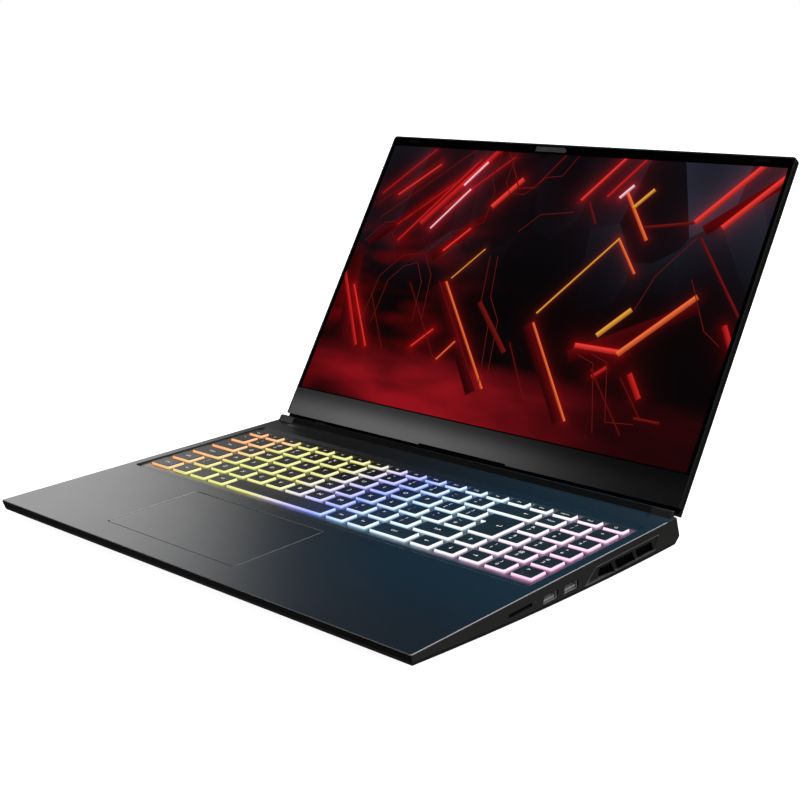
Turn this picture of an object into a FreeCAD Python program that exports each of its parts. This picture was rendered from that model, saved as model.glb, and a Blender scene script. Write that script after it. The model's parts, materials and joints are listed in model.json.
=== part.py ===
import FreeCAD, Part
import math
import os

# Laptop computer, millimetres.  While it is being built, X = 0 is the middle of the width,
# Y = 0 is the front edge of the deck and Z = 0 is the deck.  The lid is built closed and
# then raised about its hinge, and at the end everything is tilted to stand on its feet.

# Driving dimensions
WIDTH = 361.5
DECK_DEPTH = 258.4
WALL = 1.6
OPEN_ANGLE = 122.5

# Side profile of the base: a front edge that leans back, a curved underside and a rear wall
# that leans out.  Points are (depth, height).
TOE = (2.4, -7.1)
BELLY = (120.0, -15.7)
HEEL = (261.0, -20.1)
REAR_RIDGE = (266.0, -14.9)
SIDE_LEAN = 2.0 / 20
BASE_CORNER = 1.6
EDGE_CHAMFER = 0.4
BELLY_CHAMFER = 0.6
PARTING_FRONT = -5.0
PARTING_RISE = 2.4

# Raised bar in front of the hinges, and the cap at each end of it, as (depth, height)
BAR_PROFILE = [(247.5, 0), (253.6, 0.45), (257.2, 3.8), (DECK_DEPTH, 3.8), (DECK_DEPTH, -1), (247.5, -1)]
CAP_PROFILE = [(253.6, 0), (256.6, 4.0), (DECK_DEPTH, 4.0), (DECK_DEPTH, 0)]
CAP_SPAN = (163.8, 178.8)

# Lid
LID_WIDTH = 359.6
LID_HEIGHT = 256.5
LID_THICKNESS = 6.0
LID_CORNER = 2.5
LID_GAP = 0.8
LID_SETBACK = 0.35
LID_ROOF = 1.3
LID_RIM = 1.2
RECESS_HEIGHT = 4.7
RECESS_DEPTH = 3.4
HINGE = (DECK_DEPTH + 1.3, -0.5)

# Display
SCREEN_WIDTH = 351.8
SCREEN_HEIGHT = 220.0
CHIN = 28.3
BEZEL = 0.9

# Camera above the display, with its window and sliding cover
CAMERA_HEIGHT = 252.0
WINDOW_X = (-33.6, 6.6)
SHUTTER_X = (-33.0, -4.4)

# Keyboard: 18 key units wide, an ISO layout with a three-column number pad
UNIT = 19.05
ROW_PITCH = 19.2
KEYS_FRONT = 114.85
KEY_GAP = 3.75
KEY_TAPER = 0.7
KEY_TOP = 0.56
KEY_BOTTOM = -2.0
KEY_TRAVEL = 1.6
HOLE_CLEARANCE = 0.5
FUNCTION_ROW_CENTRE = KEYS_FRONT + 102.3
FUNCTION_ROW_DEPTH = 9.2
KEYS_LEFT = -9 * UNIT
RECESS_FLOOR = -1.2
FLOOR_THICKNESS = 1.4

# Touchpad
PAD_X = (-93.1, 26.2)
PAD_Y = (21.2, 95.5)
PAD_TOP = -0.2
PAD_THICKNESS = 1.3
PAD_CLEARANCE = 0.35
PAD_BEVEL = 0.3

# Hinges
KNUCKLE_RADIUS = 3.0
PIN_RADIUS = 1.45
RUNNING_CLEARANCE = 0.05
HINGE_SPAN = (137.5, 162.5)
BRACKET_SCREWS = [(144.0, 241.0), (156.0, 241.0), (150.0, 250.0)]

# Fans
FAN_CENTRE = (133.5, 203.0)
FAN_SIZE = (73.5, 72.5)
FAN_Z = (-15.4, -8.0)
ROTOR_RADIUS = 30.0
BLADES = 17

# Inner boards
BOARD_Z = (-5.9, -4.9)
PLATE_TOP = KEY_BOTTOM - KEY_TRAVEL - 0.3
PLATE_Z = (PLATE_TOP - 0.6, PLATE_TOP)

# Sockets on the sides as (depth, height), on the rear as a distance across; sizes are (wide, high)
RIGHT_USB = [(121.5, -9.7), (142.1, -10.0)]
LEFT_USB = (128.0, -9.8)
USB_MOUTH = (13.7, 5.7)
USB_SHELL = (13.2, 5.3)
USB_HOLLOW = (12.5, 4.6)
CARD = (92.5, -7.8)
CARD_MOUTH = (21.8, 2.4)
LIGHT = (106.4, -7.5)
JACK = (106.0, -8.6)
JACK_BORE = 1.78
REAR_PORT_Z = -10.0
HDMI_X = -30.0
HDMI_MOUTH = (15.8, 6.2)
HDMI_SHELL = (15.2, 5.6)
HDMI_HOLLOW = (14.2, 4.6)
USB_C_MOUTH = (9.8, 4.0)
INLET_X = 32.0
INLET_RADIUS = 4.1
SCREWS = [(75.0, 14.0), (175.3, 66.0), (175.3, 156.0), (87.0, 254.0)]

# Feet
FRONT_FOOT_Y = 44.0
REAR_FOOT_Y = 240.0
FRONT_FOOT_DROP = 3.2
REAR_FOOT_DROP = 2.4
FOOT_WIDTH = 8.0

parts = {}
lid_pieces = {}


# ---------------------------------------------------------------- helpers

def vec(x, y, z):
    return FreeCAD.Vector(x, y, z)


def box(x0, x1, y0, y1, z0, z1):
    return Part.makeBox(x1 - x0, y1 - y0, z1 - z0, vec(x0, y0, z0))


def rod(radius, start, direction, length):
    return Part.makeCylinder(radius, length, vec(*start), vec(*direction))


def mirrored(shape):
    return shape.mirror(vec(0, 0, 0), vec(1, 0, 0))


def both_sides(shape):
    return [shape, mirrored(shape)]


def group(shapes):
    return Part.makeCompound([solid for shape in shapes for solid in shape.Solids])


def rectangle(x0, x1, y0, y1):
    return [(x0, y0), (x1, y0), (x1, y1), (x0, y1)]


def inset(points, distance):
    """Moves every edge of an anticlockwise right-angled outline inwards."""
    moved = []
    for index, (x, y) in enumerate(points):
        before = points[index - 1]
        after = points[(index + 1) % len(points)]
        normal_x = normal_y = 0
        for (ax, ay), (bx, by) in ((before, (x, y)), ((x, y), after)):
            length = math.hypot(bx - ax, by - ay)
            normal_x -= (by - ay) / length
            normal_y += (bx - ax) / length
        moved.append((x + distance * normal_x, y + distance * normal_y))
    return moved


def rounded_wire(points, radius, z):
    """A closed outline at height z with every corner rounded."""
    corners = []
    for index, point in enumerate(points):
        here = vec(point[0], point[1], z)
        to_before = vec(points[index - 1][0], points[index - 1][1], z) - here
        following = points[(index + 1) % len(points)]
        to_after = vec(following[0], following[1], z) - here
        to_before.normalize()
        to_after.normalize()
        half = to_before.getAngle(to_after) / 2
        bisector = to_before + to_after
        bisector.normalize()
        reach = radius / math.tan(half)
        centre = here + bisector * (radius / math.sin(half))
        corners.append((here + to_before * reach, centre - bisector * radius, here + to_after * reach))
    edges = []
    for index, (start, middle, end) in enumerate(corners):
        edges.append(Part.makeLine(corners[index - 1][2], start))
        edges.append(Part.Arc(start, middle, end).toShape())
    return Part.Wire(edges)


def slab(points, radius, z0, z1):
    face = Part.Face(rounded_wire(points, radius, z0))
    return face.extrude(vec(0, 0, z1 - z0))


def tapered(bottom, top, radius, z0, z1):
    wires = [rounded_wire(bottom, radius, z0), rounded_wire(top, radius, z1)]
    return Part.makeLoft(wires, True, True)


def side_prism(points, x0, x1):
    """An outline given as (y, z), run from x0 to x1."""
    wire = Part.makePolygon([vec(x0, y, z) for y, z in points + points[:1]])
    return Part.Face(wire).extrude(vec(x1 - x0, 0, 0))


def side_block(x0, x1, centre, size):
    """A block that runs into a side wall; centre is (depth, height) and size (wide, high)."""
    (y, z), (wide, high) = centre, size
    return box(x0, x1, y - wide / 2, y + wide / 2, z - high / 2, z + high / 2)


def rear_block(x, y0, y1, size):
    """A block that runs into the rear wall at socket height."""
    wide, high = size
    return box(x - wide / 2, x + wide / 2, y0, y1, REAR_PORT_Z - high / 2, REAR_PORT_Z + high / 2)


def belly_circle():
    circle = Part.Arc(*[vec(0, y, z) for y, z in (TOE, BELLY, HEEL)]).toShape().Curve
    return circle.Center.y, circle.Center.z, circle.Radius


def belly_z(y):
    """Height of the underside of the base at a given depth."""
    centre_y, centre_z, radius = belly_circle()
    return centre_z - math.sqrt(radius ** 2 - (y - centre_y) ** 2)


def belly_prism(before, start, end, after, half_width, rise):
    """A solid whose lower face is the belly arc moved up, between start and end."""
    middle = (start + end) / 2
    low, mid, high = [vec(-half_width, y, belly_z(y) + rise) for y in (start, middle, end)]
    ahead = [vec(-half_width, y, z) for y, z in before]
    behind = [vec(-half_width, y, z) for y, z in after]
    corners = [high] + behind + ahead + [low]
    edges = [Part.makeLine(a, b) for a, b in zip(corners, corners[1:])]
    edges.append(Part.Arc(low, mid, high).toShape())
    return Part.Face(Part.Wire(edges)).extrude(vec(2 * half_width, 0, 0))


def leaning_block(half_width, y0, y1, z0, z1):
    """A full-length block whose sides lean in towards the bottom."""
    points = [(half_width, 0), (half_width, z1), (-half_width, z1), (-half_width, 0)]
    foot = half_width + z0 * SIDE_LEAN
    points += [(-foot, z0), (foot, z0)]
    wire = Part.makePolygon([vec(x, y0, z) for x, z in points + points[:1]])
    return Part.Face(wire).extrude(vec(0, y1 - y0, 0))


# ---------------------------------------------------------------- key layout

def key_rows():
    """Rows from the front, each a list of (width in units, node)."""
    pad = [(1, "number_pad_keys")] * 3
    return [
        [(1.25, "left_control_key")] + [(1, "bottom_row_keys")] * 3 + [(5, "space_bar")]
        + [(1, "bottom_row_keys")] * 2 + [(1.75, "bottom_row_keys")]
        + [(1, "arrow_left_key"), (1, "arrow_down_key"), (1, "arrow_right_key")] + pad[:2],
        [(1.25, "left_shift_key")] + [(1, "lower_letter_keys")] * 11
        + [(1.75, "right_shift_key"), (1, "arrow_up_key")] + pad,
        [(1.75, "caps_lock_key")] + [(1, "home_letter_keys")] * 12 + [(1.25, None)] + pad,
        [(1.5, "tab_key")] + [(1, "upper_letter_keys")] * 12 + [(1.5, None)] + pad,
        [(1, "number_row_keys")] * 13 + [(2, "backspace_key")] + pad,
    ]


def key_outlines():
    """Every key as (node, cell outline); None cells belong to the enter key."""
    cells = []
    for row, keys in enumerate(key_rows()):
        left = KEYS_LEFT
        front = KEYS_FRONT + row * ROW_PITCH
        for units, node in keys:
            right = left + units * UNIT
            if node:
                cells.append((node, rectangle(left, right, front, front + ROW_PITCH)))
            left = right
    right = KEYS_LEFT + 15 * UNIT
    front = KEYS_FRONT + 2 * ROW_PITCH
    step = front + ROW_PITCH
    narrow, wide = right - 1.25 * UNIT, right - 1.5 * UNIT
    cells.append(("enter_key", [(narrow, front), (right, front), (right, step + ROW_PITCH),
                                (wide, step + ROW_PITCH), (wide, step), (narrow, step)]))
    half = (FUNCTION_ROW_DEPTH + KEY_GAP) / 2
    widths = [15 / 16] * 16 + [1] * 3
    left = KEYS_LEFT
    for index, units in enumerate(widths):
        node = "power_button" if index == len(widths) - 1 else "function_row_keys"
        outline = rectangle(left, left + units * UNIT, FUNCTION_ROW_CENTRE - half,
                            FUNCTION_ROW_CENTRE + half)
        cells.append((node, outline))
        left += units * UNIT
    return cells


def keycaps():
    caps = {}
    for node, cell in key_outlines():
        foot = inset(cell, KEY_GAP / 2)
        cap = tapered(foot, inset(foot, KEY_TAPER), 1.0, KEY_BOTTOM, KEY_TOP)
        caps.setdefault(node, []).append(cap)
    for node, solids in caps.items():
        parts[node] = solids[0] if len(solids) == 1 else group(solids)


def key_holes():
    edge = KEY_GAP / 2 - HOLE_CLEARANCE
    floor = RECESS_FLOOR - FLOOR_THICKNESS
    return [slab(inset(cell, edge), 1.2, floor - 1, KEY_TOP) for _, cell in key_outlines()]


# ---------------------------------------------------------------- base casing

def base_outer():
    body = belly_prism([(0, 0)], TOE[0], HEEL[0], [REAR_RIDGE, (DECK_DEPTH, 0)], WIDTH, 0)
    body = body.common(leaning_block(WIDTH / 2, -5, 270, -25, 5))
    footprint = rectangle(-WIDTH / 2, WIDTH / 2, 0, REAR_RIDGE[0] + 12)
    body = body.common(slab(footprint, BASE_CORNER, -25, 5))
    rims = [e for e in body.Edges if e.BoundBox.ZMin > -0.01 and e.BoundBox.YMin < DECK_DEPTH - 1]
    body = body.makeChamfer(EDGE_CHAMFER, rims)
    bellies = [e for e in body.Edges if e.BoundBox.YLength > 200 and e.BoundBox.ZMin < -19]
    return body.makeChamfer(BELLY_CHAMFER, bellies)


def base_cavity():
    front = WALL + 1.0
    before = [(front, -WALL), (front, -4.0)]
    after = [(REAR_RIDGE[0] - 2.4, REAR_RIDGE[1] + 0.5), (DECK_DEPTH - 1.4, -WALL)]
    body = belly_prism(before, TOE[0] + WALL, HEEL[0] - 2.2, after, WIDTH, WALL)
    return body.common(leaning_block(WIDTH / 2 - 1.8, 0, 270, -25, 5))


def keyboard_recess():
    """A shallow dish round the keyboard with a gentle front and back slope."""
    half = WIDTH / 2
    floor = rectangle(-half + 8.5, half - 8.5, 108.5, 228.0)
    rim = rectangle(-half + 6.5, half - 6.5, 105.8, 232.4)
    return tapered(floor, rim, 3.0, RECESS_FLOOR, 0.0)


def side_vent():
    """The right-hand vent: a shallow pocket and three openings between leaning ribs."""
    face = WIDTH / 2
    pocket_outline = [(167.5, -5.8), (237.5, -6.2), (235.5, -15.4), (158.0, -14.6)]
    pocket = side_prism(pocket_outline, face - 1.5, face + 3)
    window_outline = [(171.5, -8.0), (231.8, -8.7), (234.6, -15.2), (190.0, -15.4), (170.8, -13.8)]
    window = side_prism(window_outline, face - 9, face + 3)
    for top in (181.1, 204.5):
        rib = [(top, 0), (top + 2.8, 0), (top + 13.8, -20), (top + 11.0, -20)]
        window = window.cut(side_prism(rib, face - 9, face + 3))
    return [pocket, window]


def rear_vent():
    """Upright exhaust slots through the leaning rear wall."""
    return [box(x, x + 4.0, 250, 270, -13.2, -6.6) for x in range(96, 130, 6)]


def underside_vents():
    """Rows of intake slots under a fan and a short row under a speaker."""
    slots = []
    for row in range(9):
        y = FAN_CENTRE[1] - 24 + 6 * row
        for column in range(3):
            x = FAN_CENTRE[0] - 30 + 21 * column
            slots.append(slab(rectangle(x, x + 18, y, y + 2.6), 1.2, -25, -12))
    for row in range(4):
        y = 24 + 4 * row
        slots.append(slab(rectangle(128, 162, y, y + 1.8), 0.8, -15, -6.5))
    return slots


def port_holes():
    wall, out = WIDTH / 2 - 6, WIDTH / 2 + 3
    holes = [side_block(wall, out, place, USB_MOUTH) for place in RIGHT_USB]
    holes.append(side_block(-out, -wall, LEFT_USB, USB_MOUTH))
    holes.append(side_block(wall, out, CARD, CARD_MOUTH))
    holes.append(rod(0.8, (wall, *LIGHT), (1, 0, 0), 10))
    # the audio opening flares outwards, like a countersunk hole
    holes.append(Part.makeCone(2.75, 3.35, 10, vec(-wall, *JACK), vec(-1, 0, 0)))
    holes.append(rear_block(HDMI_X, 250, 270, HDMI_MOUTH))
    holes.append(rear_block(0, 250, 270, USB_C_MOUTH))
    holes.append(rod(INLET_RADIUS + 0.1, (INLET_X, 250, REAR_PORT_Z), (0, 1, 0), 20))
    return holes


def screw_places():
    return [(side * x, y) for x, y in SCREWS for side in (1, -1)]


def hinge_notch():
    """Room for the hinge knuckles below and behind the raised bar."""
    x0, x1 = HINGE_SPAN[0] - 0.5, HINGE_SPAN[1] + 0.5
    below = box(x0, x1, 256.0, 268, -5.0, HINGE[1] + KNUCKLE_RADIUS + 0.4)
    return below.fuse(box(x0, x1, DECK_DEPTH - 0.4, 268, 0, 4))


def touchpad_hole():
    """The touchpad's opening, with a fine bevel round its upper edge."""
    outline = rectangle(PAD_X[0] - PAD_CLEARANCE, PAD_X[1] + PAD_CLEARANCE,
                        PAD_Y[0] - PAD_CLEARANCE, PAD_Y[1] + PAD_CLEARANCE)
    bevel = tapered(outline, inset(outline, -PAD_BEVEL), 2.5, -PAD_BEVEL, 0)
    return slab(outline, 2.5, -3, 1).fuse(bevel)


def screw_openings():
    openings = []
    for x, y in screw_places():
        openings.append(rod(1.15, (x, y, belly_z(y) - 1), (0, 0, 1), 6.5))
        openings.append(rod(2.45, (x, y, belly_z(y) - 1), (0, 0, 1), 2.0))
    for x, y in BRACKET_SCREWS:
        openings += both_sides(rod(1.25, (x, y, -4), (0, 0, 1), 3.4))
    return openings


def below_parting():
    """Everything under the parting surface, which follows the belly."""
    start, end = TOE[0], HEEL[0]
    space = box(-WIDTH, WIDTH, -10, 280, -60, PARTING_FRONT)
    above = belly_prism([(-20, 20), (-20, PARTING_FRONT)], start, end,
                        [(290, belly_z(end) + PARTING_RISE), (290, 20)], WIDTH + 1, PARTING_RISE)
    return space.cut(above)


def casings():
    shell = base_outer().cut(base_cavity())
    half = WIDTH / 2
    stiffener = box(-half + 3.5, half - 3.5, 104, 235, RECESS_FLOOR - FLOOR_THICKNESS, -WALL)
    bar = side_prism(BAR_PROFILE, -CAP_SPAN[0] + 0.3, CAP_SPAN[0] - 0.3)
    posts = [rod(2.3, (x, y, belly_z(y) + WALL), (0, 0, 1), -WALL - belly_z(y) - WALL)
             for x, y in screw_places()]
    shell = shell.fuse([stiffener, bar] + posts)
    openings = [keyboard_recess(), touchpad_hole()] + key_holes() + both_sides(hinge_notch())
    for opening in side_vent() + rear_vent() + underside_vents():
        openings += both_sides(opening)
    shell = shell.cut(openings + port_holes() + screw_openings())
    below = below_parting()
    parts["top_case"] = shell.cut(below)
    parts["bottom_case"] = shell.common(below)


def case_screws():
    screws = []
    for x, y in screw_places():
        z = belly_z(y)
        head = rod(2.35, (x, y, z + 0.05), (0, 0, 1), 0.9)
        socket = rod(0.8, (x, y, z - 0.5), (0, 0, 1), 1.1)
        screws.append(head.fuse(rod(1.1, (x, y, z + 0.9), (0, 0, 1), 4.4)).cut(socket))
    for x, y in BRACKET_SCREWS:
        screw = rod(2.0, (x, y, -4.55), (0, 0, 1), 1.0).fuse(rod(1.2, (x, y, -4.0), (0, 0, 1), 3.3))
        screws += both_sides(screw.cut(rod(0.7, (x, y, -5), (0, 0, 1), 0.9)))
    parts["case_screws"] = group(screws)


# ---------------------------------------------------------------- inside the base

def keyboard_plate():
    edge = 9 * UNIT - 0.6
    plate = slab(rectangle(-edge, edge, KEYS_FRONT - 3, 227), 2.0, *PLATE_Z)
    domes = [rod(1.2, (x * UNIT, 108.6 + 121 * end, PLATE_Z[1]), (0, 0, 1), -2.65 - PLATE_Z[1])
             for x in range(-6, 7, 4) for end in (0, 1)]
    tabs = [box(d.BoundBox.XMin - 2, d.BoundBox.XMax + 2, min(d.BoundBox.YMin - 1, 226),
                max(d.BoundBox.YMax + 1, 113), *PLATE_Z) for d in domes]
    parts["keyboard_plate"] = plate.fuse(tabs + domes).removeSplitter()


def touchpad():
    outline = rectangle(*PAD_X, *PAD_Y)
    plate = slab(outline, 2.2, PAD_TOP - PAD_THICKNESS, PAD_TOP)
    parts["touchpad"] = plate.makeChamfer(0.25, [e for e in plate.Edges if e.BoundBox.ZMin > PAD_TOP - 0.01])
    x0, x1 = PAD_X[0] - 4.5, PAD_X[1] + 4.5
    y0, y1 = PAD_Y[0] - 4.0, PAD_Y[1] + 4.0
    tray = box(x0, x1, y0, y1, -4.4, -WALL).cut(box(x0 + 2, x1 - 2, y0 + 2, y1 - 2, -3.9, 0))
    middle = (PAD_X[0] + PAD_X[1]) / 2
    switch = rod(2.5, (middle, PAD_Y[0] + 6, -3.9), (0, 0, 1), 1.9)
    parts["touchpad_bracket"] = tray.fuse(switch)


def mainboard():
    z0, z1 = BOARD_Z
    board = box(-92, 92, 118, 238, z0, z1)
    board = board.fuse([box(90, 164, 94, 152, z0, z1), box(153, 164, 80, 96, z0, z1),
                        box(-164, -90, 94, 152, z0, z1), box(-50, 46, 236, 256, z0, z1)])
    chips = [box(-72, -46, 192, 218, z0 - 1.2, z0 + 0.1), box(42, 74, 188, 220, z0 - 1.2, z0 + 0.1),
             box(-12, 8, 196, 216, z0 - 1.0, z0 + 0.1), box(100, 112, 100, 112, z0 - 1.0, z0 + 0.1)]
    chips += [box(x, x + 7, 224, 231, z0 - 2.0, z0 + 0.1) for x in range(-84, 80, 14)]
    parts["mainboard"] = board.fuse(chips)
    sticks = []
    for y in (122, 156):
        stick = box(-84, -15, y, y + 28, z0 - 2.6, z0 - 1.6)
        lumps = [box(x, x + 10, y + 6, y + 20, z0 - 3.4, z0 - 2.5) for x in range(-80, -24, 14)]
        socket = box(-86, -13, y - 3, y + 1, z0 - 3.2, z0 - 0.05)
        sticks.append(stick.fuse(lumps + [socket]))
    parts["memory_modules"] = group(sticks)
    drive = box(0, 80, 122, 144, z0 - 2.4, z0 - 1.6)
    drive = drive.fuse([box(8 + 18 * i, 22 + 18 * i, 126, 140, z0 - 3.4, z0 - 2.3) for i in range(4)])
    parts["solid_state_drive"] = drive.fuse(box(-4, 1, 121, 145, z0 - 3.0, z0 - 0.05))
    card = box(20, 50, 152, 174, z0 - 2.4, z0 - 1.6)
    parts["wireless_card"] = card.fuse([box(26, 46, 156, 170, z0 - 3.6, z0 - 2.3),
                                        box(15, 21, 151, 175, z0 - 3.0, z0 - 0.05)])


def cooling():
    z = BOARD_Z[0] - 1.25
    pipes = []
    for x0, x1, y in ((-59, -131, 246.0), (58, 131, 246.0)):
        side = 1 if x1 > 0 else -1
        block = box(x0 - 14, x0 + 14, 191, 219, z - 1.2, z)
        low, high = min(x0 - 4 * side, x1), max(x0 - 4 * side, x1)
        bend = [(low, y - 4), (high, y - 4), (high, y + 4), (low, y + 4)]
        run = slab(bend, 1.5, z - 3.2, z - 1.2)
        leg = slab(rectangle(x0 - 4, x0 + 4, 193, y + 4), 1.5, z - 3.2, z - 1.2)
        pipes.append(block.fuse([run, leg]))
    parts["heat_pipes"] = group(pipes)
    top = z - 3.25
    rear = box(97, 131, 242, 255, top - 0.6, top)
    rear = rear.fuse([box(97 + 2.2 * i, 97.6 + 2.2 * i, 242, 255, -15.4, top - 0.3) for i in range(16)])
    side = box(171.5, 176.8, 168.5, 232, -8.9, -8.3)
    side = side.fuse([box(171.5, 176.8, 168.6 + 2.4 * i, 169.2 + 2.4 * i, -15.2, -8.6) for i in range(27)])
    parts["fin_stacks"] = group(both_sides(rear) + both_sides(side))


def fan(sign, name):
    cx, cy = sign * FAN_CENTRE[0], FAN_CENTRE[1]
    wide, deep = FAN_SIZE[0] / 2, FAN_SIZE[1] / 2
    z0, z1 = FAN_Z
    body = box(cx - wide, cx + wide, cy - deep, cy + deep, z0, z1)
    room = box(cx - wide + 1.2, cx + wide - 1.2, cy - deep + 1.2, cy + deep - 1.2, z0 + 1, z1 - 1)
    side_exit = box(cx, cx + wide + 2, cy - deep + 4, cy + deep - 4, z0 + 1, z1 - 1)
    if sign < 0:
        side_exit = box(cx - wide - 2, cx, cy - deep + 4, cy + deep - 4, z0 + 1, z1 - 1)
    rear_exit = box(cx - wide + 1.2, cx - 2, cy, cy + deep + 2, z0 + 1, z1 - 1)
    intake = rod(25.0, (cx, cy, z0 - 1), (0, 0, 1), 3)
    body = body.cut([room, side_exit, rear_exit, intake])
    axle = rod(1.5, (cx, cy, z0 + 2.2), (0, 0, 1), z1 - z0 - 2.7)
    parts[name + "_fan_housing"] = body.fuse(axle)
    low, high = z0 + 1.4, z1 - 1.4
    hub = rod(11.0, (cx, cy, low), (0, 0, 1), high - low)
    blades = []
    for index in range(BLADES):
        blade = box(cx + 10, cx + ROTOR_RADIUS, cy - 0.4, cy + 0.4, low + 0.3, high - 0.2)
        blade.rotate(vec(cx + 10, cy, 0), vec(0, 0, 1), 24)
        blade.rotate(vec(cx, cy, 0), vec(0, 0, 1), 360 * index / BLADES)
        blades.append(blade)
    ring = rod(24.0, (cx, cy, high - 0.5), (0, 0, 1), 0.5).cut(rod(22.0, (cx, cy, high - 1), (0, 0, 1), 2))
    rotor = hub.fuse(blades + [ring]).cut(rod(1.5 + RUNNING_CLEARANCE, (cx, cy, low + 0.4), (0, 0, 1), 9))
    parts[name + "_fan_rotor"] = rotor


def battery_and_speakers():
    pack = box(-150, 150, 47, 90, -9.0, -4.9).fuse(box(-86, 86, 89, 115, -9.0, -4.9))
    grooves = [box(x, x + 1, 46, 91, -9.5, -8.4) for x in (-100, -50, 0, 50, 100)]
    parts["battery"] = pack.cut(grooves)
    speaker = box(120, 171, 20, 42, -6.8, -2.2)
    cone = slab(rectangle(126, 165, 23, 39), 6, -7.0, -6.0)
    speaker = speaker.cut(cone).fuse(rod(4.0, (145, 31, -6.5), (0, 0, 1), 2))
    parts["speakers"] = group(both_sides(speaker))


# ---------------------------------------------------------------- sockets

def usb_socket(place):
    """A right-hand USB-A socket: folded metal shell, and the tongue that holds the contacts."""
    mouth = WIDTH / 2 - 1.7
    shell = side_block(mouth - 13.5, mouth, place, USB_SHELL)
    shell = shell.cut(side_block(mouth - 12.5, mouth + 1, place, USB_HOLLOW))
    y, z = place
    return shell.fuse(side_block(mouth - 12.8, mouth - 0.8, (y, z - 1.0), (11.2, 1.3)))


def card_reader():
    mouth = WIDTH / 2 - WALL
    reader = side_block(mouth - 26, mouth - 1.4, CARD, (CARD_MOUTH[0] + 3, 3.1))
    nose = side_block(mouth - 3, mouth, CARD, (CARD_MOUTH[0] - 0.2, CARD_MOUTH[1] - 0.2))
    slot = side_block(mouth - 24, mouth + 1, CARD, (CARD_MOUTH[0] - 0.8, CARD_MOUTH[1] - 0.9))
    parts["card_reader"] = reader.fuse(nose).cut(slot)


def audio_jack():
    y, z = JACK
    face = -WIDTH / 2
    block = box(face + 3.4, face + 17, y - 3.3, y + 3.3, z - 2.7, z + 2.65)
    sleeve = rod(2.7, (face + 1.2, y, z), (1, 0, 0), 3)
    parts["audio_jack"] = block.fuse(sleeve).cut(rod(JACK_BORE, (face, y, z), (1, 0, 0), 15.2))


def usb_c_socket():
    """Modelled upright from z = 0 and then turned to face the rear."""
    z = REAR_PORT_Z
    socket = slab(rectangle(-4.6, 4.6, z - 1.75, z + 1.75), 1.6, 0, 10.0)
    hollow = slab(rectangle(-4.2, 4.2, z - 1.35, z + 1.35), 1.3, 1.0, 11)
    socket = socket.cut(hollow).fuse(box(-3.3, 3.3, z - 0.35, z + 0.35, 0.5, 9.0))
    socket.rotate(vec(0, 0, 0), vec(1, 0, 0), 90)
    socket = socket.mirror(vec(0, 0, 0), vec(0, 1, 0))
    socket.translate(vec(0, 250.6, 0))
    parts["usb_c_socket"] = socket


def power_inlet():
    z = REAR_PORT_Z
    barrel = rod(INLET_RADIUS, (INLET_X, 258, z), (0, 1, 0), 3.2)
    inlet = rear_block(INLET_X, 244, 258.5, (10, 8)).fuse(barrel)
    inlet = inlet.cut(rod(2.8, (INLET_X, 248, z), (0, 1, 0), 15))
    parts["power_inlet"] = inlet.fuse(rod(0.8, (INLET_X, 247, z), (0, 1, 0), 12.5))


def sockets():
    usb = [usb_socket(place) for place in RIGHT_USB] + [mirrored(usb_socket(LEFT_USB))]
    parts["usb_a_sockets"] = group(usb)
    parts["status_light"] = rod(0.75, (WIDTH / 2 - 6, *LIGHT), (1, 0, 0), 5.2)
    hdmi = rear_block(HDMI_X, 248, 260.3, HDMI_SHELL).cut(rear_block(HDMI_X, 249.5, 262, HDMI_HOLLOW))
    parts["video_socket"] = hdmi.fuse(rear_block(HDMI_X, 249, 258.5, (11.0, 1.4)))
    card_reader()
    audio_jack()
    usb_c_socket()
    power_inlet()


# ---------------------------------------------------------------- hinges

def hinges():
    y, z = HINGE
    x0, x1 = HINGE_SPAN
    middle = (x0 + x1) / 2
    plate = box(x0 + 2, x1 - 2, 236.5, 255.5, z - KNUCKLE_RADIUS, -WALL - 0.05)
    tongue = box(middle + 0.25, x1, 250, y, z - KNUCKLE_RADIUS, -WALL - 0.05)
    knuckle = rod(KNUCKLE_RADIUS, (middle + 0.25, y, z), (1, 0, 0), x1 - middle - 0.25)
    bracket = plate.fuse([tongue, knuckle])
    bracket = bracket.cut([rod(PIN_RADIUS + RUNNING_CLEARANCE, (x0, y, z), (1, 0, 0), 40)]
                          + [rod(1.25, (x, sy, -6), (0, 0, 1), 6) for x, sy in BRACKET_SCREWS])
    parts["hinge_brackets"] = group(both_sides(bracket))
    cap = side_prism(CAP_PROFILE, *CAP_SPAN)
    cap = cap.makeChamfer(0.3, [e for e in cap.Edges if e.BoundBox.ZMin > 3.9])
    parts["hinge_caps"] = group(both_sides(cap))
    pin = rod(PIN_RADIUS, (x0 + 1, y, z), (1, 0, 0), x1 - x0 - 1)
    lid_pieces["hinge_pins"] = group(both_sides(pin))
    roof = LID_GAP + LID_THICKNESS - LID_ROOF
    knuckle = rod(KNUCKLE_RADIUS, (x0 + 0.5, y, z), (1, 0, 0), middle - x0 - 0.75)
    arm = box(x0 + 0.5, middle - 0.25, y - 1.3, y + 1.3, z, roof - 0.05)
    strip = box(x0 + 0.5, middle - 0.25, 188, y + 1.3, roof - 1.15, roof - 0.05)
    leaf = knuckle.fuse([arm, strip]).cut(rod(PIN_RADIUS, (x0 - 1, y, z), (1, 0, 0), 30))
    eyelets = [rod(1.3, (x0 + 6, sy, 0), (0, 0, 1), 10) for sy in (196, 212, 228, 244)]
    lid_pieces["hinge_leaves"] = group(both_sides(leaf.cut(eyelets)))


# ---------------------------------------------------------------- lid

def lid_y(height):
    """Depth, with the lid closed, of a point this far up from the lid's hinge edge."""
    return DECK_DEPTH - LID_SETBACK - height


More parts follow.
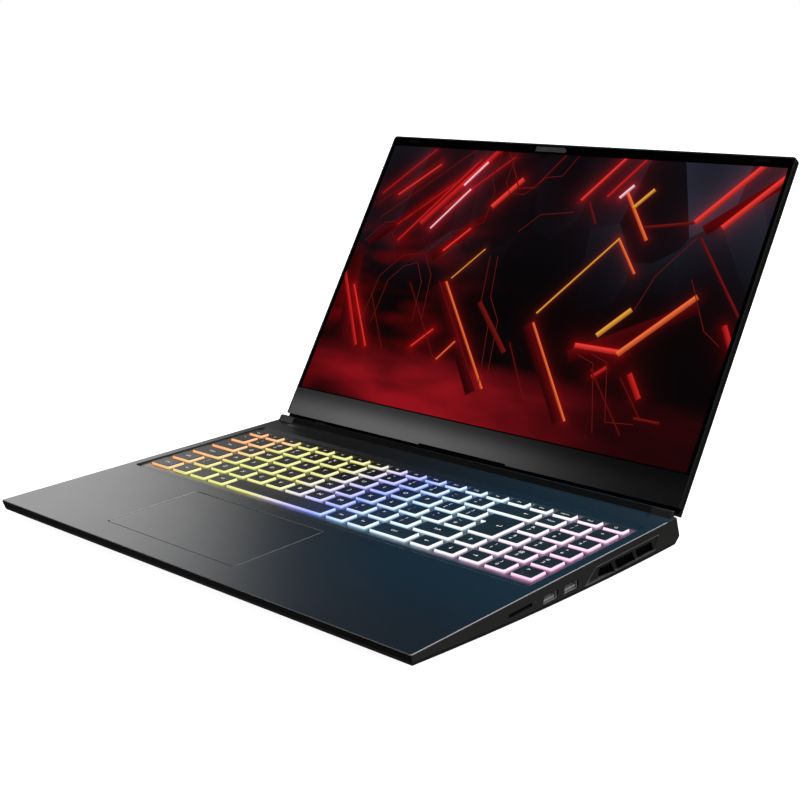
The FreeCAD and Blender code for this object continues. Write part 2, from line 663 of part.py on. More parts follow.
def lid_slab(margin, radius, z0, z1):
    """The lid's outline moved in by a margin: rounded at the free edge, square at the hinge."""
    half = LID_WIDTH / 2 - margin
    back = lid_y(0) - margin
    longer = slab(rectangle(-half, half, lid_y(LID_HEIGHT) + margin, back + 10), radius, z0, z1)
    return longer.cut(box(-half - 1, half + 1, back, back + 20, z0 - 1, z1 + 1))


def lid_strip(x0, x1, bottom, top, z0, z1):
    """A block in the lid between two heights up from the hinge edge."""
    return box(x0, x1, lid_y(top), lid_y(bottom), z0, z1)


def lid():
    half = LID_WIDTH / 2
    low, high = LID_GAP, LID_GAP + LID_THICKNESS
    roof = high - LID_ROOF
    ledge = low + RECESS_DEPTH
    body = lid_slab(0, LID_CORNER, low, high)
    body = body.makeChamfer(0.9, [e for e in body.Edges if e.BoundBox.ZMin > high - 0.01])
    hollow = lid_slab(LID_RIM, LID_CORNER - LID_RIM, low - 1, roof)
    recess = lid_strip(-half - 1, half + 1, -1, RECESS_HEIGHT, low - 1, ledge)
    arm_gap = lid_strip(HINGE_SPAN[0] + 0.2, sum(HINGE_SPAN) / 2 + 0.1, -1, RECESS_HEIGHT, low, roof)
    lid_pieces["lid_cover"] = body.cut([hollow, recess] + both_sides(arm_gap))
    strip = lid_strip(-half + 1.25, half - 1.25, 1.25, RECESS_HEIGHT, ledge, roof)
    lid_pieces["hinge_cover_strip"] = strip.cut(both_sides(arm_gap))
    bezel(recess)
    screen_and_camera(roof)


def bezel(recess):
    """The frame round the display, with a lip down to the hinge recess and a finger notch."""
    low, back = LID_GAP, LID_GAP + BEZEL
    ledge = low + RECESS_DEPTH - 0.1
    edge = LID_RIM + 0.1
    half = LID_WIDTH / 2 - edge
    plate = lid_slab(edge, LID_CORNER - edge, low, back).cut(recess)
    lip = lid_strip(-half, half, RECESS_HEIGHT, RECESS_HEIGHT + 2.2, low, ledge)
    opening = rectangle(-SCREEN_WIDTH / 2, SCREEN_WIDTH / 2, lid_y(CHIN + SCREEN_HEIGHT), lid_y(CHIN))
    notch = lid_strip(-40, 40, RECESS_HEIGHT - 1, RECESS_HEIGHT + 1.1, low - 1, ledge + 0.1)
    camera_y = lid_y(CAMERA_HEIGHT)
    window = slab(rectangle(*WINDOW_X, camera_y - 2.5, camera_y + 2.5), 0.8, low - 1, low + 3)
    lid_pieces["screen_bezel"] = plate.fuse(lip).cut([slab(opening, 1.0, low - 1, low + 3), notch, window])
    pad = rectangle(150, 162, lid_y(LID_HEIGHT - 3.2), lid_y(LID_HEIGHT - 5.8))
    lid_pieces["lid_bumpers"] = group(both_sides(slab(pad, 1.2, 0.2, low)))


def screen_and_camera(roof):
    z = LID_GAP + BEZEL
    camera_y = lid_y(CAMERA_HEIGHT)
    half = SCREEN_WIDTH / 2 + 1.3
    panel = lid_strip(-half, half, CHIN - 7.5, CHIN + SCREEN_HEIGHT + 0.8, z + 0.02, roof - 1.3)
    lid_pieces["display_panel"] = panel
    board = box(-39, 39, camera_y - 2.8, camera_y + 2.6, z + 0.35, z + 1.6)
    barrel = rod(1.7, (0, camera_y, z - 0.15), (0, 0, 1), 1.0)
    lid_pieces["webcam"] = board.fuse(barrel).cut(rod(0.9, (0, camera_y, z - 0.5), (0, 0, 1), 0.6))
    antenna = lid_strip(62, 112, LID_HEIGHT - 6.8, LID_HEIGHT - 2, z + 0.4, z + 0.8)
    antenna = antenna.fuse(lid_strip(70, 76, LID_HEIGHT - 6.4, LID_HEIGHT - 3, z + 0.7, z + 1.6))
    lid_pieces["antennas"] = group(both_sides(antenna))
    lid_pieces["webcam_shutter"] = shutter(LID_GAP + 0.15, camera_y)


def shutter(z, camera_y):
    """The sliding privacy cover, beside the lens, with a ribbed grip."""
    plate = slab(rectangle(*SHUTTER_X, camera_y - 2.15, camera_y + 2.15), 0.5, z, z + 0.6)
    grooves = [box(x, x + 0.5, camera_y - 1.5, camera_y + 1.5, z - 1, z + 0.2) for x in (-20, -19, -18, -17)]
    return plate.cut(grooves)


# ---------------------------------------------------------------- assembly and export

def stance_angle():
    fall = belly_z(FRONT_FOOT_Y) - FRONT_FOOT_DROP - belly_z(REAR_FOOT_Y) + REAR_FOOT_DROP
    return math.degrees(math.atan2(fall, REAR_FOOT_Y - FRONT_FOOT_Y))


STANCE = stance_angle()


def foot_block(x0, x1, y, top):
    return slab(rectangle(x0, x1, y - FOOT_WIDTH / 2, y + FOOT_WIDTH / 2), 2.5, -40, top)


def feet(outer):
    """Rubber feet that reach from the underside to the level floor."""
    blocks = both_sides(foot_block(70, 150, FRONT_FOOT_Y, -9)) + [foot_block(-150, 150, REAR_FOOT_Y, -15)]
    ground = box(-300, 300, -300, 600, -100, 0)
    ground.rotate(vec(0, 0, 0), vec(1, 0, 0), -STANCE)
    ground.translate(vec(0, FRONT_FOOT_Y, belly_z(FRONT_FOOT_Y) - FRONT_FOOT_DROP))
    return group([block.cut([outer, ground]) for block in blocks])


def build():
    casings()
    case_screws()
    keyboard_plate()
    keycaps()
    touchpad()
    mainboard()
    cooling()
    fan(1, "right")
    fan(-1, "left")
    battery_and_speakers()
    sockets()
    hinges()
    lid()
    parts["rubber_feet"] = feet(base_outer())
    for name, shape in lid_pieces.items():
        shape.rotate(vec(0, *HINGE), vec(-1, 0, 0), OPEN_ANGLE)
        parts[name] = shape
    for shape in parts.values():
        shape.rotate(vec(0, 0, 0), vec(1, 0, 0), STANCE)
    bounds = FreeCAD.BoundBox()
    for shape in parts.values():
        bounds.add(shape.optimalBoundingBox(False))
    shift = vec(0, -bounds.Center.y, -bounds.ZMin)
    for shape in parts.values():
        shape.translate(shift)
    return shift


origin_shift = build()
os.makedirs("parts", exist_ok=True)
for node, shape in parts.items():
    shape.exportStep("parts/" + node + ".step")
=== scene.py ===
import json
import math

import bmesh
import bpy
from mathutils import Matrix, Vector


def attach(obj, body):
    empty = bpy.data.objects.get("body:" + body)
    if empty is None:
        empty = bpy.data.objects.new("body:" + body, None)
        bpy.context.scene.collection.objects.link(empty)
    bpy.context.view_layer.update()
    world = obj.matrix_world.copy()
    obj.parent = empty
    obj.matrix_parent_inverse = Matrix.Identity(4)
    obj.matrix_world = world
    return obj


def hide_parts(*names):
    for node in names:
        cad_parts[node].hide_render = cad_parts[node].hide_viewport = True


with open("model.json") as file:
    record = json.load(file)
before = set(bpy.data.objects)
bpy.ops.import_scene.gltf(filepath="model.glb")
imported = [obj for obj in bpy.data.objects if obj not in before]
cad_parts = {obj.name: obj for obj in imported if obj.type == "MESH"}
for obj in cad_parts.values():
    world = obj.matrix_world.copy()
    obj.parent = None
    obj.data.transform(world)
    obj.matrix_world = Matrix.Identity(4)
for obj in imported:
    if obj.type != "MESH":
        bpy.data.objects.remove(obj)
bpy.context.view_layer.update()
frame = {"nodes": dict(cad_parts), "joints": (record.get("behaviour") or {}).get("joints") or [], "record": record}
nodes = frame["nodes"]
joints = {joint["name"]: joint for joint in frame["joints"]}

MM = 0.001

# ------------------------------------------------------------------ places

# Deck coordinates in mm: X = 0 is the middle of the width, Y = 0 the front edge, Z = 0 the deck.
# Hinge axis, and the hinge edge and inner face of the closed lid
HINGE_Y, HINGE_Z = 259.7, -0.5
LID_FOOT_Y, LID_FACE_Z = 258.05, 0.8

# Keyboard, as in the CAD model: its span, the heights of a key and of the dish floor, and its depth
KEY_UNIT = 19.05
KEYS_LEFT, KEYS_WIDTH = -9 * KEY_UNIT, 18 * KEY_UNIT
KEY_FOOT_Z, KEY_TOP_Z = -2.0, 0.56
RECESS_Z = -1.2
KEYS_FRONT, KEYS_BACK = 114.85, 222.2
# Front of the raised bar before the hinges
BAR_FRONT = 247.5
# Right wall, the vent pocket's place in it, and the outline of the painted highlight around the pocket as Y and Z
RIGHT_WALL = 178.0
VENT_FRONT, VENT_BACK = 154.0, 239.0
VENT_POCKET = [(237.5, -6.2), (167.5, -5.8), (158.0, -14.6), (235.5, -15.4)]

# Display, bezel thickness and height of the camera window, as in the CAD model
SCREEN_WIDTH, SCREEN_HEIGHT, CHIN = 351.8, 220.0, 28.3
BEZEL = 0.9
WINDOW_HEIGHT = 252.0


def shift(x, y, z):
    """A move by millimetres."""
    return Matrix.Translation(Vector((x, y, z)) * MM)


key_axis = Vector(joints["space_bar_press"]["axis"])
tilt = math.atan2(-key_axis.y, key_axis.z)
opening = -math.radians(joints["lid_hinge"]["range_deg"][0])
hinge = Matrix.Translation(Vector(joints["lid_hinge"]["pos_m"]))
# From deck coordinates, in metres, to the row frame
DECK = hinge @ Matrix.Rotation(tilt, 4, "X") @ shift(0, -HINGE_Y, -HINGE_Z)
# From lid coordinates (across, up from the hinge edge, out of the bezel) to the row frame
LID = (hinge @ Matrix.Rotation(tilt - opening, 4, "X") @ shift(0, LID_FOOT_Y - HINGE_Y, LID_FACE_Z - HINGE_Z)
       @ Matrix.Rotation(math.pi, 4, "X"))


# ------------------------------------------------------------------ shader building

class Graph:
    """One material and short names for the nodes that it needs."""

    def __init__(self, name):
        self.material = bpy.data.materials.new(name)
        self.material.use_nodes = True
        self.tree = self.material.node_tree
        self.tree.nodes.clear()
        self.surface = self.tree.nodes.new("ShaderNodeBsdfPrincipled")
        output = self.tree.nodes.new("ShaderNodeOutputMaterial")
        self.tree.links.new(self.surface.outputs[0], output.inputs[0])
        self.place = self.tree.nodes.new("ShaderNodeTexCoord").outputs["Object"]

    def feed(self, socket, value):
        if isinstance(value, bpy.types.NodeSocket):
            self.tree.links.new(value, socket)
        elif socket.type == "RGBA":
            socket.default_value = (*value[:3], 1.0)
        else:
            socket.default_value = value

    def set(self, **values):
        for name, value in values.items():
            self.feed(self.surface.inputs[name.replace("_", " ")], value)
        return self.material

    def math(self, operation, *values):
        node = self.tree.nodes.new("ShaderNodeMath")
        node.operation = operation
        for socket, value in zip(node.inputs, values):
            self.feed(socket, value)
        return node.outputs[0]

    def vector(self, operation, *values):
        node = self.tree.nodes.new("ShaderNodeVectorMath")
        node.operation = operation
        for socket, value in zip(node.inputs, values):
            self.feed(socket, value)
        return node.outputs["Value" if operation == "DOT_PRODUCT" else "Vector"]

    def along(self, axis, start=0.0):
        """Distance along an axis, from start, in the object's own coordinates."""
        return self.math("SUBTRACT", self.vector("DOT_PRODUCT", self.place, tuple(axis)), start)

    def point(self, x, y):
        """A flat point from its two coordinates."""
        node = self.tree.nodes.new("ShaderNodeCombineXYZ")
        self.feed(node.inputs[0], x)
        self.feed(node.inputs[1], y)
        return node.outputs[0]

    def segment(self, point, start, end):
        """Distance to the side of a straight piece, with its sign, and past its nearer end."""
        start, end = Vector((*start, 0)), Vector((*end, 0))
        direction = (end - start).normalized()
        local = self.vector("SUBTRACT", point, tuple((start + end) / 2))
        run = self.math("ABSOLUTE", self.vector("DOT_PRODUCT", local, tuple(direction)))
        over = self.math("MAXIMUM", self.math("SUBTRACT", run, (end - start).length / 2), 0.0)
        return self.vector("DOT_PRODUCT", local, (-direction.y, direction.x, 0.0)), over

    def fade(self, value, start, end, low=0.0, high=1.0):
        """A smooth step from low to high as the value goes from start to end."""
        node = self.tree.nodes.new("ShaderNodeMapRange")
        node.interpolation_type = "SMOOTHSTEP"
        for socket, number in zip(node.inputs, (value, start, end, low, high)):
            self.feed(socket, number)
        return node.outputs[0]

    def noise(self, size, detail=2.0, stretch=(1, 1, 1), roughness=0.5):
        """Noise whose lumps are about size metres across, from 0 to 1."""
        node = self.tree.nodes.new("ShaderNodeTexNoise")
        self.feed(node.inputs["Vector"], self.vector("MULTIPLY", self.place, stretch))
        node.inputs["Scale"].default_value = 1 / size
        node.inputs["Detail"].default_value = detail
        node.inputs["Roughness"].default_value = roughness
        return node.outputs["Fac"]

    def cells(self, size, feature="F1", randomness=1.0):
        """Distance within cells about size metres across, as a share of their size."""
        node = self.tree.nodes.new("ShaderNodeTexVoronoi")
        node.feature = feature
        self.feed(node.inputs["Vector"], self.place)
        node.inputs["Scale"].default_value = 1 / size
        node.inputs["Randomness"].default_value = randomness
        return node.outputs["Distance"]

    def ramp(self, factor, stops):
        """Colours at stops from 0 to 1, with straight changes between them."""
        node = self.tree.nodes.new("ShaderNodeValToRGB")
        self.feed(node.inputs[0], factor)
        elements = node.color_ramp.elements
        while len(elements) < len(stops):
            elements.new(1.0)
        for element, (position, colour) in zip(elements, stops):
            element.position = position
            element.color = (*colour, 1.0)
        return node.outputs[0]

    def mix(self, factor, first, second):
        node = self.tree.nodes.new("ShaderNodeMix")
        node.data_type = "RGBA"
        factor_socket, first_socket, second_socket = node.inputs[0], node.inputs[6], node.inputs[7]
        self.feed(factor_socket, factor)
        self.feed(first_socket, first)
        self.feed(second_socket, second)
        return node.outputs[2]

    def bump(self, height, depth, strength, edge=0.0):
        """Normal of a relief depth metres deep, with edges rounded by edge metres."""
        node = self.tree.nodes.new("ShaderNodeBump")
        node.inputs["Strength"].default_value = strength
        node.inputs["Distance"].default_value = depth
        self.feed(node.inputs["Height"], height)
        if edge:
            bevel = self.tree.nodes.new("ShaderNodeBevel")
            bevel.samples = 4
            bevel.inputs["Radius"].default_value = edge
            self.feed(node.inputs["Normal"], bevel.outputs[0])
        return node.outputs[0]

    def facing(self, axis):
        """1 where the surface faces along an axis, 0 across it, -1 away."""
        normal = self.tree.nodes.new("ShaderNodeTexCoord").outputs["Normal"]
        return self.vector("DOT_PRODUCT", normal, tuple(axis))


def grey(value):
    return (value, value, value)


def scaled(colour, factor):
    return tuple(factor * channel for channel in colour)


def moulded(name, colour, roughness=0.5, specular=0.3, grain=0.0004, depth=0.00002, edge=0.0):
    """Moulded plastic or rubber: an even fine texture with slow changes of tone."""
    g = Graph(name)
    tone = g.noise(0.03, 3)
    speckle = g.cells(grain)
    return g.set(Base_Color=g.mix(tone, scaled(colour, 0.75), scaled(colour, 1.3)),
                 Roughness=g.fade(tone, 0.2, 0.8, roughness - 0.06, roughness + 0.06),
                 Specular_IOR_Level=specular,
                 Normal=g.bump(speckle, depth, 0.6, edge))


def brushed_metal(name, colour, roughness, grain, stretch, metallic=1.0):
    """Bare or plated metal, brushed at right angles to the axis with the largest stretch."""
    g = Graph(name)
    scratches = g.noise(grain, 4, stretch)
    stain = g.noise(0.02, 3)
    return g.set(Base_Color=g.mix(stain, scaled(colour, 0.7), colour), Metallic=metallic,
                 Roughness=g.math("MULTIPLY_ADD", scratches, 0.2, roughness - 0.1),
                 Normal=g.bump(scratches, 0.00001, 0.5))


# ------------------------------------------------------------------ materials

# Directions of the tilted deck, and how far along them its origin lies
UP = DECK.to_3x3() @ Vector((0, 0, 1))
DECK_HEIGHT = UP.dot(DECK.translation)
BACK = DECK.to_3x3() @ Vector((0, 1, 0))
DECK_START = BACK.dot(DECK.translation)

# Colours of the key lighting: (place across the keyboard, at the foot of a key, at its rim)
KEY_LIGHT = [
    (0.00, (0.80, 0.24, 0.05), (0.90, 0.46, 0.20)),
    (0.07, (0.70, 0.42, 0.08), (0.86, 0.62, 0.28)),
    (0.12, (0.50, 0.50, 0.05), (0.82, 0.82, 0.26)),
    (0.31, (0.50, 0.50, 0.10), (0.84, 0.84, 0.34)),
    (0.36, (0.42, 0.36, 0.42), (0.84, 0.79, 0.74)),
    (0.41, (0.20, 0.18, 0.70), (0.66, 0.62, 0.94)),
    (0.48, (0.05, 0.12, 0.85), (0.38, 0.48, 0.98)),
    (0.55, (0.08, 0.32, 0.78), (0.66, 0.80, 1.00)),
    (0.64, (0.22, 0.52, 0.70), (0.83, 0.95, 1.00)),
    (0.75, (0.45, 0.56, 0.75), (0.96, 0.99, 1.00)),
    (0.84, (0.66, 0.40, 0.66), (1.00, 0.92, 0.98)),
    (0.92, (0.74, 0.26, 0.58), (0.98, 0.79, 0.93)),
    (1.00, (0.72, 0.16, 0.46), (0.95, 0.62, 0.85)),
]
# Faint cast on the key tops, across the keyboard
TOP_CAST = [
    (0.00, (0.006, 0.004, 0.002)), (0.30, (0.006, 0.005, 0.002)), (0.40, (0.004, 0.006, 0.014)),
    (0.48, (0.004, 0.013, 0.055)), (0.58, (0.005, 0.020, 0.050)), (0.75, (0.005, 0.020, 0.032)),
    (1.00, (0.006, 0.015, 0.024)),
]
# How far the colours lean to the right, per distance back
HUE_LEAN = 0.20
# Brightness of the light on the floor of the key dish
DISH_GLOW = 0.20
# How far it spreads in front of, behind and beside the keys, in mm
GLOW_REACH = 4.5


def place_across(g):
    """Place across the keyboard, 0 to 1, along lines that lean to the right towards the back."""
    back = g.along(BACK, DECK_START + KEYS_FRONT * MM)
    across = g.math("MULTIPLY_ADD", back, -HUE_LEAN, g.along((1, 0, 0), KEYS_LEFT * MM))
    return g.math("MULTIPLY", across, 1 / (KEYS_WIDTH * MM))


def hue_across(g, column):
    """Colour of the key lighting: column 1 at the foot of a key, column 2 at its rim."""
    return g.ramp(place_across(g), [(stop[0], stop[column]) for stop in KEY_LIGHT])


def sheet_tone_and_painted_light(g):
    """Tone of the deck and touchpad: anodised grey on the left, with painted blue light on the right and near the
    keys.
    """
    # Painted light: a blue cast that grows towards the keys and towards the right
    near_keys = g.fade(g.along(BACK, DECK_START), 0.0, 0.11)
    cast = g.mix(near_keys, (0.012, 0.023, 0.038), (0.010, 0.042, 0.074))
    to_right = g.fade(g.along((1, 0, 0)), -0.09, 0.12)
    return g.mix(to_right, (0.018, 0.018, 0.019), cast)


def vent_painted_highlight(g, back, height):
    """1 where a painted highlight goes: on the slanted sides of the right wall's vent pocket and on the rim along
    its outline.
    """
    behind_front = g.fade(back, (VENT_FRONT - 2) * MM, (VENT_FRONT + 2) * MM)
    within = g.math("MULTIPLY", behind_front, g.fade(back, (VENT_BACK + 1) * MM, (VENT_BACK - 1) * MM))
    sideways = g.math("ABSOLUTE", g.facing((1, 0, 0)))
    mask = g.math("MULTIPLY", within, g.fade(sideways, 0.75, 0.6))
    place = g.point(g.math("MULTIPLY", back, 1 / MM), g.math("MULTIPLY", height, 1 / MM))
    for start, end in zip(VENT_POCKET, VENT_POCKET[1:]):
        side, over = g.segment(place, start, end)
        rim = g.fade(g.math("MAXIMUM", g.math("ABSOLUTE", side), over), 0.90, 0.55)
        mask = g.math("MAXIMUM", mask, rim)
    on_right_wall = g.fade(g.along((1, 0, 0)), RIGHT_WALL * MM, (RIGHT_WALL + 0.5) * MM)
    return g.math("MULTIPLY", mask, on_right_wall)


def dish_light(g, back, height):
    """Strength of the light on the floor of the key dish, uneven and fading away from the keys."""
    floor = g.math("COMPARE", height, RECESS_Z * MM, 0.15 * MM)
    for distance in (g.along((1, 0, 0), KEYS_LEFT * MM), g.along((-1, 0, 0), KEYS_LEFT * MM),
                     g.math("SUBTRACT", back, KEYS_FRONT * MM), g.math("SUBTRACT", KEYS_BACK * MM, back)):
        floor = g.math("MULTIPLY", floor, g.fade(distance, -GLOW_REACH * MM, 0.0))
    patch = g.fade(g.noise(0.008, 2), 0.3, 0.7, 0.5, 1.0)
    return g.math("MULTIPLY", g.math("MULTIPLY", floor, patch), DISH_GLOW)


def deck_metal():
    """Dark anodised sheet: fine blasted grain, paler cut edges, matter side walls, a lit key dish, painted blue
    light on the right and near the keys, painted shade on the forward-looking walls and a painted highlight around
    the right wall's vent pocket.
    """
    g = Graph("deck_metal")
    up = g.facing(UP)
    height = g.along(UP, DECK_HEIGHT)
    back = g.along(BACK, DECK_START)
    # Flat faces, but not the floors of the vents and slots, which lie lower
    top = g.math("MULTIPLY", g.fade(up, 0.80, 0.95), g.fade(height, -2.0 * MM, -1.6 * MM))
    # Cut edges: slanting faces in front of the raised bar
    cut = g.math("MULTIPLY", g.fade(up, 0.50, 0.62), g.fade(up, 0.84, 0.78))
    cut = g.math("MULTIPLY", cut, g.fade(back, BAR_FRONT * MM, (BAR_FRONT - 1) * MM))
    # Faces that look forward, which get painted shade and little gloss
    front = g.fade(g.facing(-BACK), 0.5, 0.8)
    smudge = g.noise(0.07, 4, (1, 1, 1), 0.6)
    blast = g.noise(0.00025, 2)

    sheet = g.mix(g.math("MULTIPLY", smudge, 0.10), sheet_tone_and_painted_light(g), (0.034, 0.036, 0.038))
    wall = g.mix(smudge, (0.011, 0.011, 0.010), (0.018, 0.018, 0.017))
    # Painted shade: the forward-looking walls are nearly black
    wall = g.mix(front, wall, grey(0.0015))
    # Painted highlight on the vent pocket's slanted sides and rim
    wall = g.mix(vent_painted_highlight(g, back, height), wall, grey(0.11))
    colour = g.mix(cut, g.mix(top, wall, sheet), (0.36, 0.36, 0.38))

    rough = g.math("ADD", g.fade(smudge, 0.2, 0.8, 0.17, 0.21), g.math("MULTIPLY", blast, 0.03))
    rough = g.math("ADD", rough, g.fade(top, 0.0, 1.0, 0.2, 0.0))
    gloss = g.math("MULTIPLY", g.fade(top, 0.0, 1.0, 0.25, 0.5), g.fade(front, 1.0, 0.0, 0.1, 1.0))
    return g.set(Base_Color=colour, Roughness=rough, Metallic=g.math("MULTIPLY", cut, 0.8),
                 Specular_IOR_Level=gloss,
                 Emission_Color=g.mix(0.25, hue_across(g, 1), hue_across(g, 2)),
                 Emission_Strength=dish_light(g, back, height),
                 Normal=g.bump(blast, 0.000006, 0.3))


def lid_metal():
    """Blasted sheet on the lid's back, darker and duller on its narrow sides."""
    g = Graph("lid_metal")
    smudge = g.noise(0.06, 4, (1, 1, 1), 0.6)
    blast = g.noise(0.00025, 2)
    flat = g.math("ABSOLUTE", g.facing(LID.to_3x3() @ Vector((0, 0, 1))))
    sheet = g.fade(flat, 0.7, 0.9)
    colour = g.mix(smudge, (0.012, 0.012, 0.013), (0.022, 0.022, 0.024))
    colour = g.mix(sheet, (0.006, 0.006, 0.005), colour)
    return g.set(Base_Color=colour, Roughness=g.math("MULTIPLY_ADD", smudge, 0.1, 0.33),
                 Specular_IOR_Level=g.fade(sheet, 0.0, 1.0, 0.1, 0.4),
                 Normal=g.bump(blast, 0.000012, 0.35, 0.0002))


def satin_paint(name, colour):
    """Smooth dark paint with faint wipe marks."""
    g = Graph(name)
    smudge = g.noise(0.05, 3)
    grain = g.noise(0.0003, 2)
    return g.set(Base_Color=g.mix(smudge, colour, scaled(colour, 1.5)),
                 Roughness=g.math("MULTIPLY_ADD", smudge, 0.06, 0.22),
                 Specular_IOR_Level=0.5, Normal=g.bump(grain, 0.00001, 0.3, 0.0001))


def bezel_plastic():
    """The screen surround: black at the sides, a satin grey chin below the picture."""
    g = Graph("bezel_plastic")
    up = LID.to_3x3() @ Vector((0, 1, 0))
    height = g.along(up, up.dot(LID.translation))
    chin = g.fade(height, (CHIN - 0.6) * MM, (CHIN - 1.6) * MM)
    smudge = g.noise(0.05, 3)
    grain = g.noise(0.0003, 2)
    gloss = g.math("MULTIPLY", chin, g.fade(height, (CHIN - 2) * MM, 9 * MM, 0.12, 0.55))
    return g.set(Base_Color=g.mix(chin, grey(0.002), grey(0.009)),
                 Roughness=g.math("MULTIPLY_ADD", smudge, 0.04, 0.14),
                 Specular_IOR_Level=gloss, Normal=g.bump(grain, 0.00001, 0.3))


def touchpad_surface():
    """The deck's tone with its painted blue light, smudged by fingers, with a paler bevel and a painted highlight
    on the bevel at the back.
    """
    g = Graph("touchpad_surface")
    up = g.facing(UP)
    edge = g.math("MULTIPLY", g.fade(up, 0.35, 0.5), g.fade(up, 0.95, 0.85))
    smudge = g.noise(0.02, 4, (1, 1, 1), 0.65)
    grain = g.noise(0.0002, 2)
    # Painted highlight on the bevel faces at the back
    rear_painted_highlight = g.math("MULTIPLY", edge, g.fade(g.facing(BACK), 0.3, 0.5))
    colour = g.mix(edge, sheet_tone_and_painted_light(g), (0.10, 0.10, 0.11))
    colour = g.mix(rear_painted_highlight, colour, (0.60, 0.60, 0.62))
    return g.set(Base_Color=colour, Roughness=g.fade(smudge, 0.2, 0.8, 0.17, 0.20),
                 Metallic=g.math("MULTIPLY", edge, 0.5),
                 Normal=g.bump(grain, 0.000006, 0.3))


def key_skirt():
    """Translucent sides of a key, lit from below and whiter towards the rim."""
    g = Graph("key_skirt")
    height = g.along(UP, DECK_HEIGHT)
    lift = g.fade(height, -1.6 * MM, -0.4 * MM)
    grain = g.noise(0.0006, 2)
    light = g.mix(lift, hue_across(g, 1), hue_across(g, 2))
    return g.set(Base_Color=grey(0.3), Roughness=0.5, Emission_Color=light,
                 Emission_Strength=g.math("MULTIPLY_ADD", grain, 0.16, 0.94))


def key_top():
    """Black keycap top with a faint cast of its own light."""
    g = Graph("key_top")
    wear = g.noise(0.012, 3)
    grain = g.noise(0.0003, 2)
    colour = g.mix(wear, (0.006, 0.006, 0.007), (0.010, 0.010, 0.011))
    cast = g.ramp(place_across(g), TOP_CAST)
    return g.set(Base_Color=colour, Roughness=g.fade(wear, 0.2, 0.8, 0.26, 0.32), Specular_IOR_Level=0.4,
                 Emission_Color=cast, Emission_Strength=g.fade(wear, 0.2, 0.8, 0.8, 1.2),
                 Normal=g.bump(grain, 0.00001, 0.4))


def key_legend():
    """Letters and signs, lit in a paler tone of the key lighting."""
    g = Graph("key_legend")
    grain = g.noise(0.0008, 2)
    light = g.mix(0.65, hue_across(g, 2), (1.0, 1.0, 1.0))
    return g.set(Base_Color=grey(0.4), Roughness=0.5, Emission_Color=light,
                 Emission_Strength=g.math("MULTIPLY_ADD", grain, 0.2, 0.60))


def circuit_board():
    """Green solder mask with a grid of tracks and gold pads."""
    g = Graph("circuit_board")
    tracks = g.fade(g.cells(0.004, "DISTANCE_TO_EDGE", 0.0), 0.02, 0.08)
    pads = g.fade(g.cells(0.003), 0.12, 0.2)
    colour = g.mix(tracks, (0.02, 0.07, 0.04), (0.008, 0.03, 0.02))
    colour = g.mix(pads, (0.5, 0.4, 0.2), colour)
    return g.set(Base_Color=colour, Roughness=0.4, Normal=g.bump(pads, 0.00003, 0.5))


MATERIALS = {
    "deck_metal": deck_metal(),
    "lid_metal": lid_metal(),
    "case_plastic": moulded("case_plastic", grey(0.007), 0.5, 0.14, edge=0.0002),
    "bezel_plastic": bezel_plastic(),
    "shutter_plastic": moulded("shutter_plastic", grey(0.10), 0.4, 0.3),
    "display": moulded("display", grey(0.006), 0.3, 0.3),
    "key_plastic": key_top(),
    "touchpad_surface": touchpad_surface(),
    "rubber": moulded("rubber", grey(0.005), 0.75, 0.06, 0.0006, 0.00005, 0.0003),
    "steel": brushed_metal("steel", grey(0.45), 0.35, 0.0006, (1, 8, 1)),
    "black_steel": moulded("black_steel", grey(0.008), 0.45, 0.2, 0.0005),
    "hinge_cap_metal": satin_paint("hinge_cap_metal", grey(0.012)),
    "strip_plastic": moulded("strip_plastic", grey(0.003), 0.6, 0.1),
    "socket_metal": brushed_metal("socket_metal", grey(0.45), 0.35, 0.0004, (6, 1, 1), metallic=0.1),
    "socket_plastic": moulded("socket_plastic", grey(0.012), 0.45, 0.3, 0.0003),
    "light_pipe": moulded("light_pipe", grey(0.05), 0.2, 0.5, 0.0003),
    "circuit_board": circuit_board(),
    "copper": brushed_metal("copper", (0.72, 0.36, 0.2), 0.3, 0.0005, (6, 1, 1)),
    "fin_metal": moulded("fin_metal", grey(0.006), 0.6, 0.1, 0.0005),
    "inner_plastic": moulded("inner_plastic", grey(0.012), 0.5, 0.3),
    "battery_wrap": moulded("battery_wrap", grey(0.02), 0.4, 0.35, 0.0008),
}
KEY_SKIRT = key_skirt()
KEY_LEGEND = key_legend()

for part in frame["record"]["subparts"]:
    node = nodes[part["node"]]
    node.data.materials.clear()
    node.data.materials.append(MATERIALS[part["material_slot"]])
# The card reader's shell is blackened, unlike the other sockets
nodes["card_reader"].data.materials[0] = MATERIALS["black_steel"]


# ------------------------------------------------------------------ mesh building

def piece(name, mesh, place, body, materials, sharp):
    """Turns a bmesh in local mm into a piece that rides on a body; edges over sharp degrees stay sharp."""
    data = bpy.data.meshes.new(name)
    mesh.to_mesh(data)
    mesh.free()
    data.transform(place @ Matrix.Scale(MM, 4))
    for material in materials:
        data.materials.append(material)
    obj = bpy.data.objects.new(name, data)
    bpy.context.scene.collection.objects.link(obj)
    data.shade_smooth()
    data.set_sharp_from_angle(angle=math.radians(sharp))
    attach(obj, body)
    return obj


def offset(points, distance):
    """Moves every edge of an anticlockwise right-angled outline inwards."""
    moved = []
    for index, (x, y) in enumerate(points):
        before, after = points[index - 1], points[(index + 1) % len(points)]
        inwards_x = inwards_y = 0
        for (ax, ay), (bx, by) in ((before, (x, y)), ((x, y), after)):
            length = math.hypot(bx - ax, by - ay)
            inwards_x -= (by - ay) / length
            inwards_y += (bx - ax) / length
        moved.append((x + distance * inwards_x, y + distance * inwards_y))
    return moved


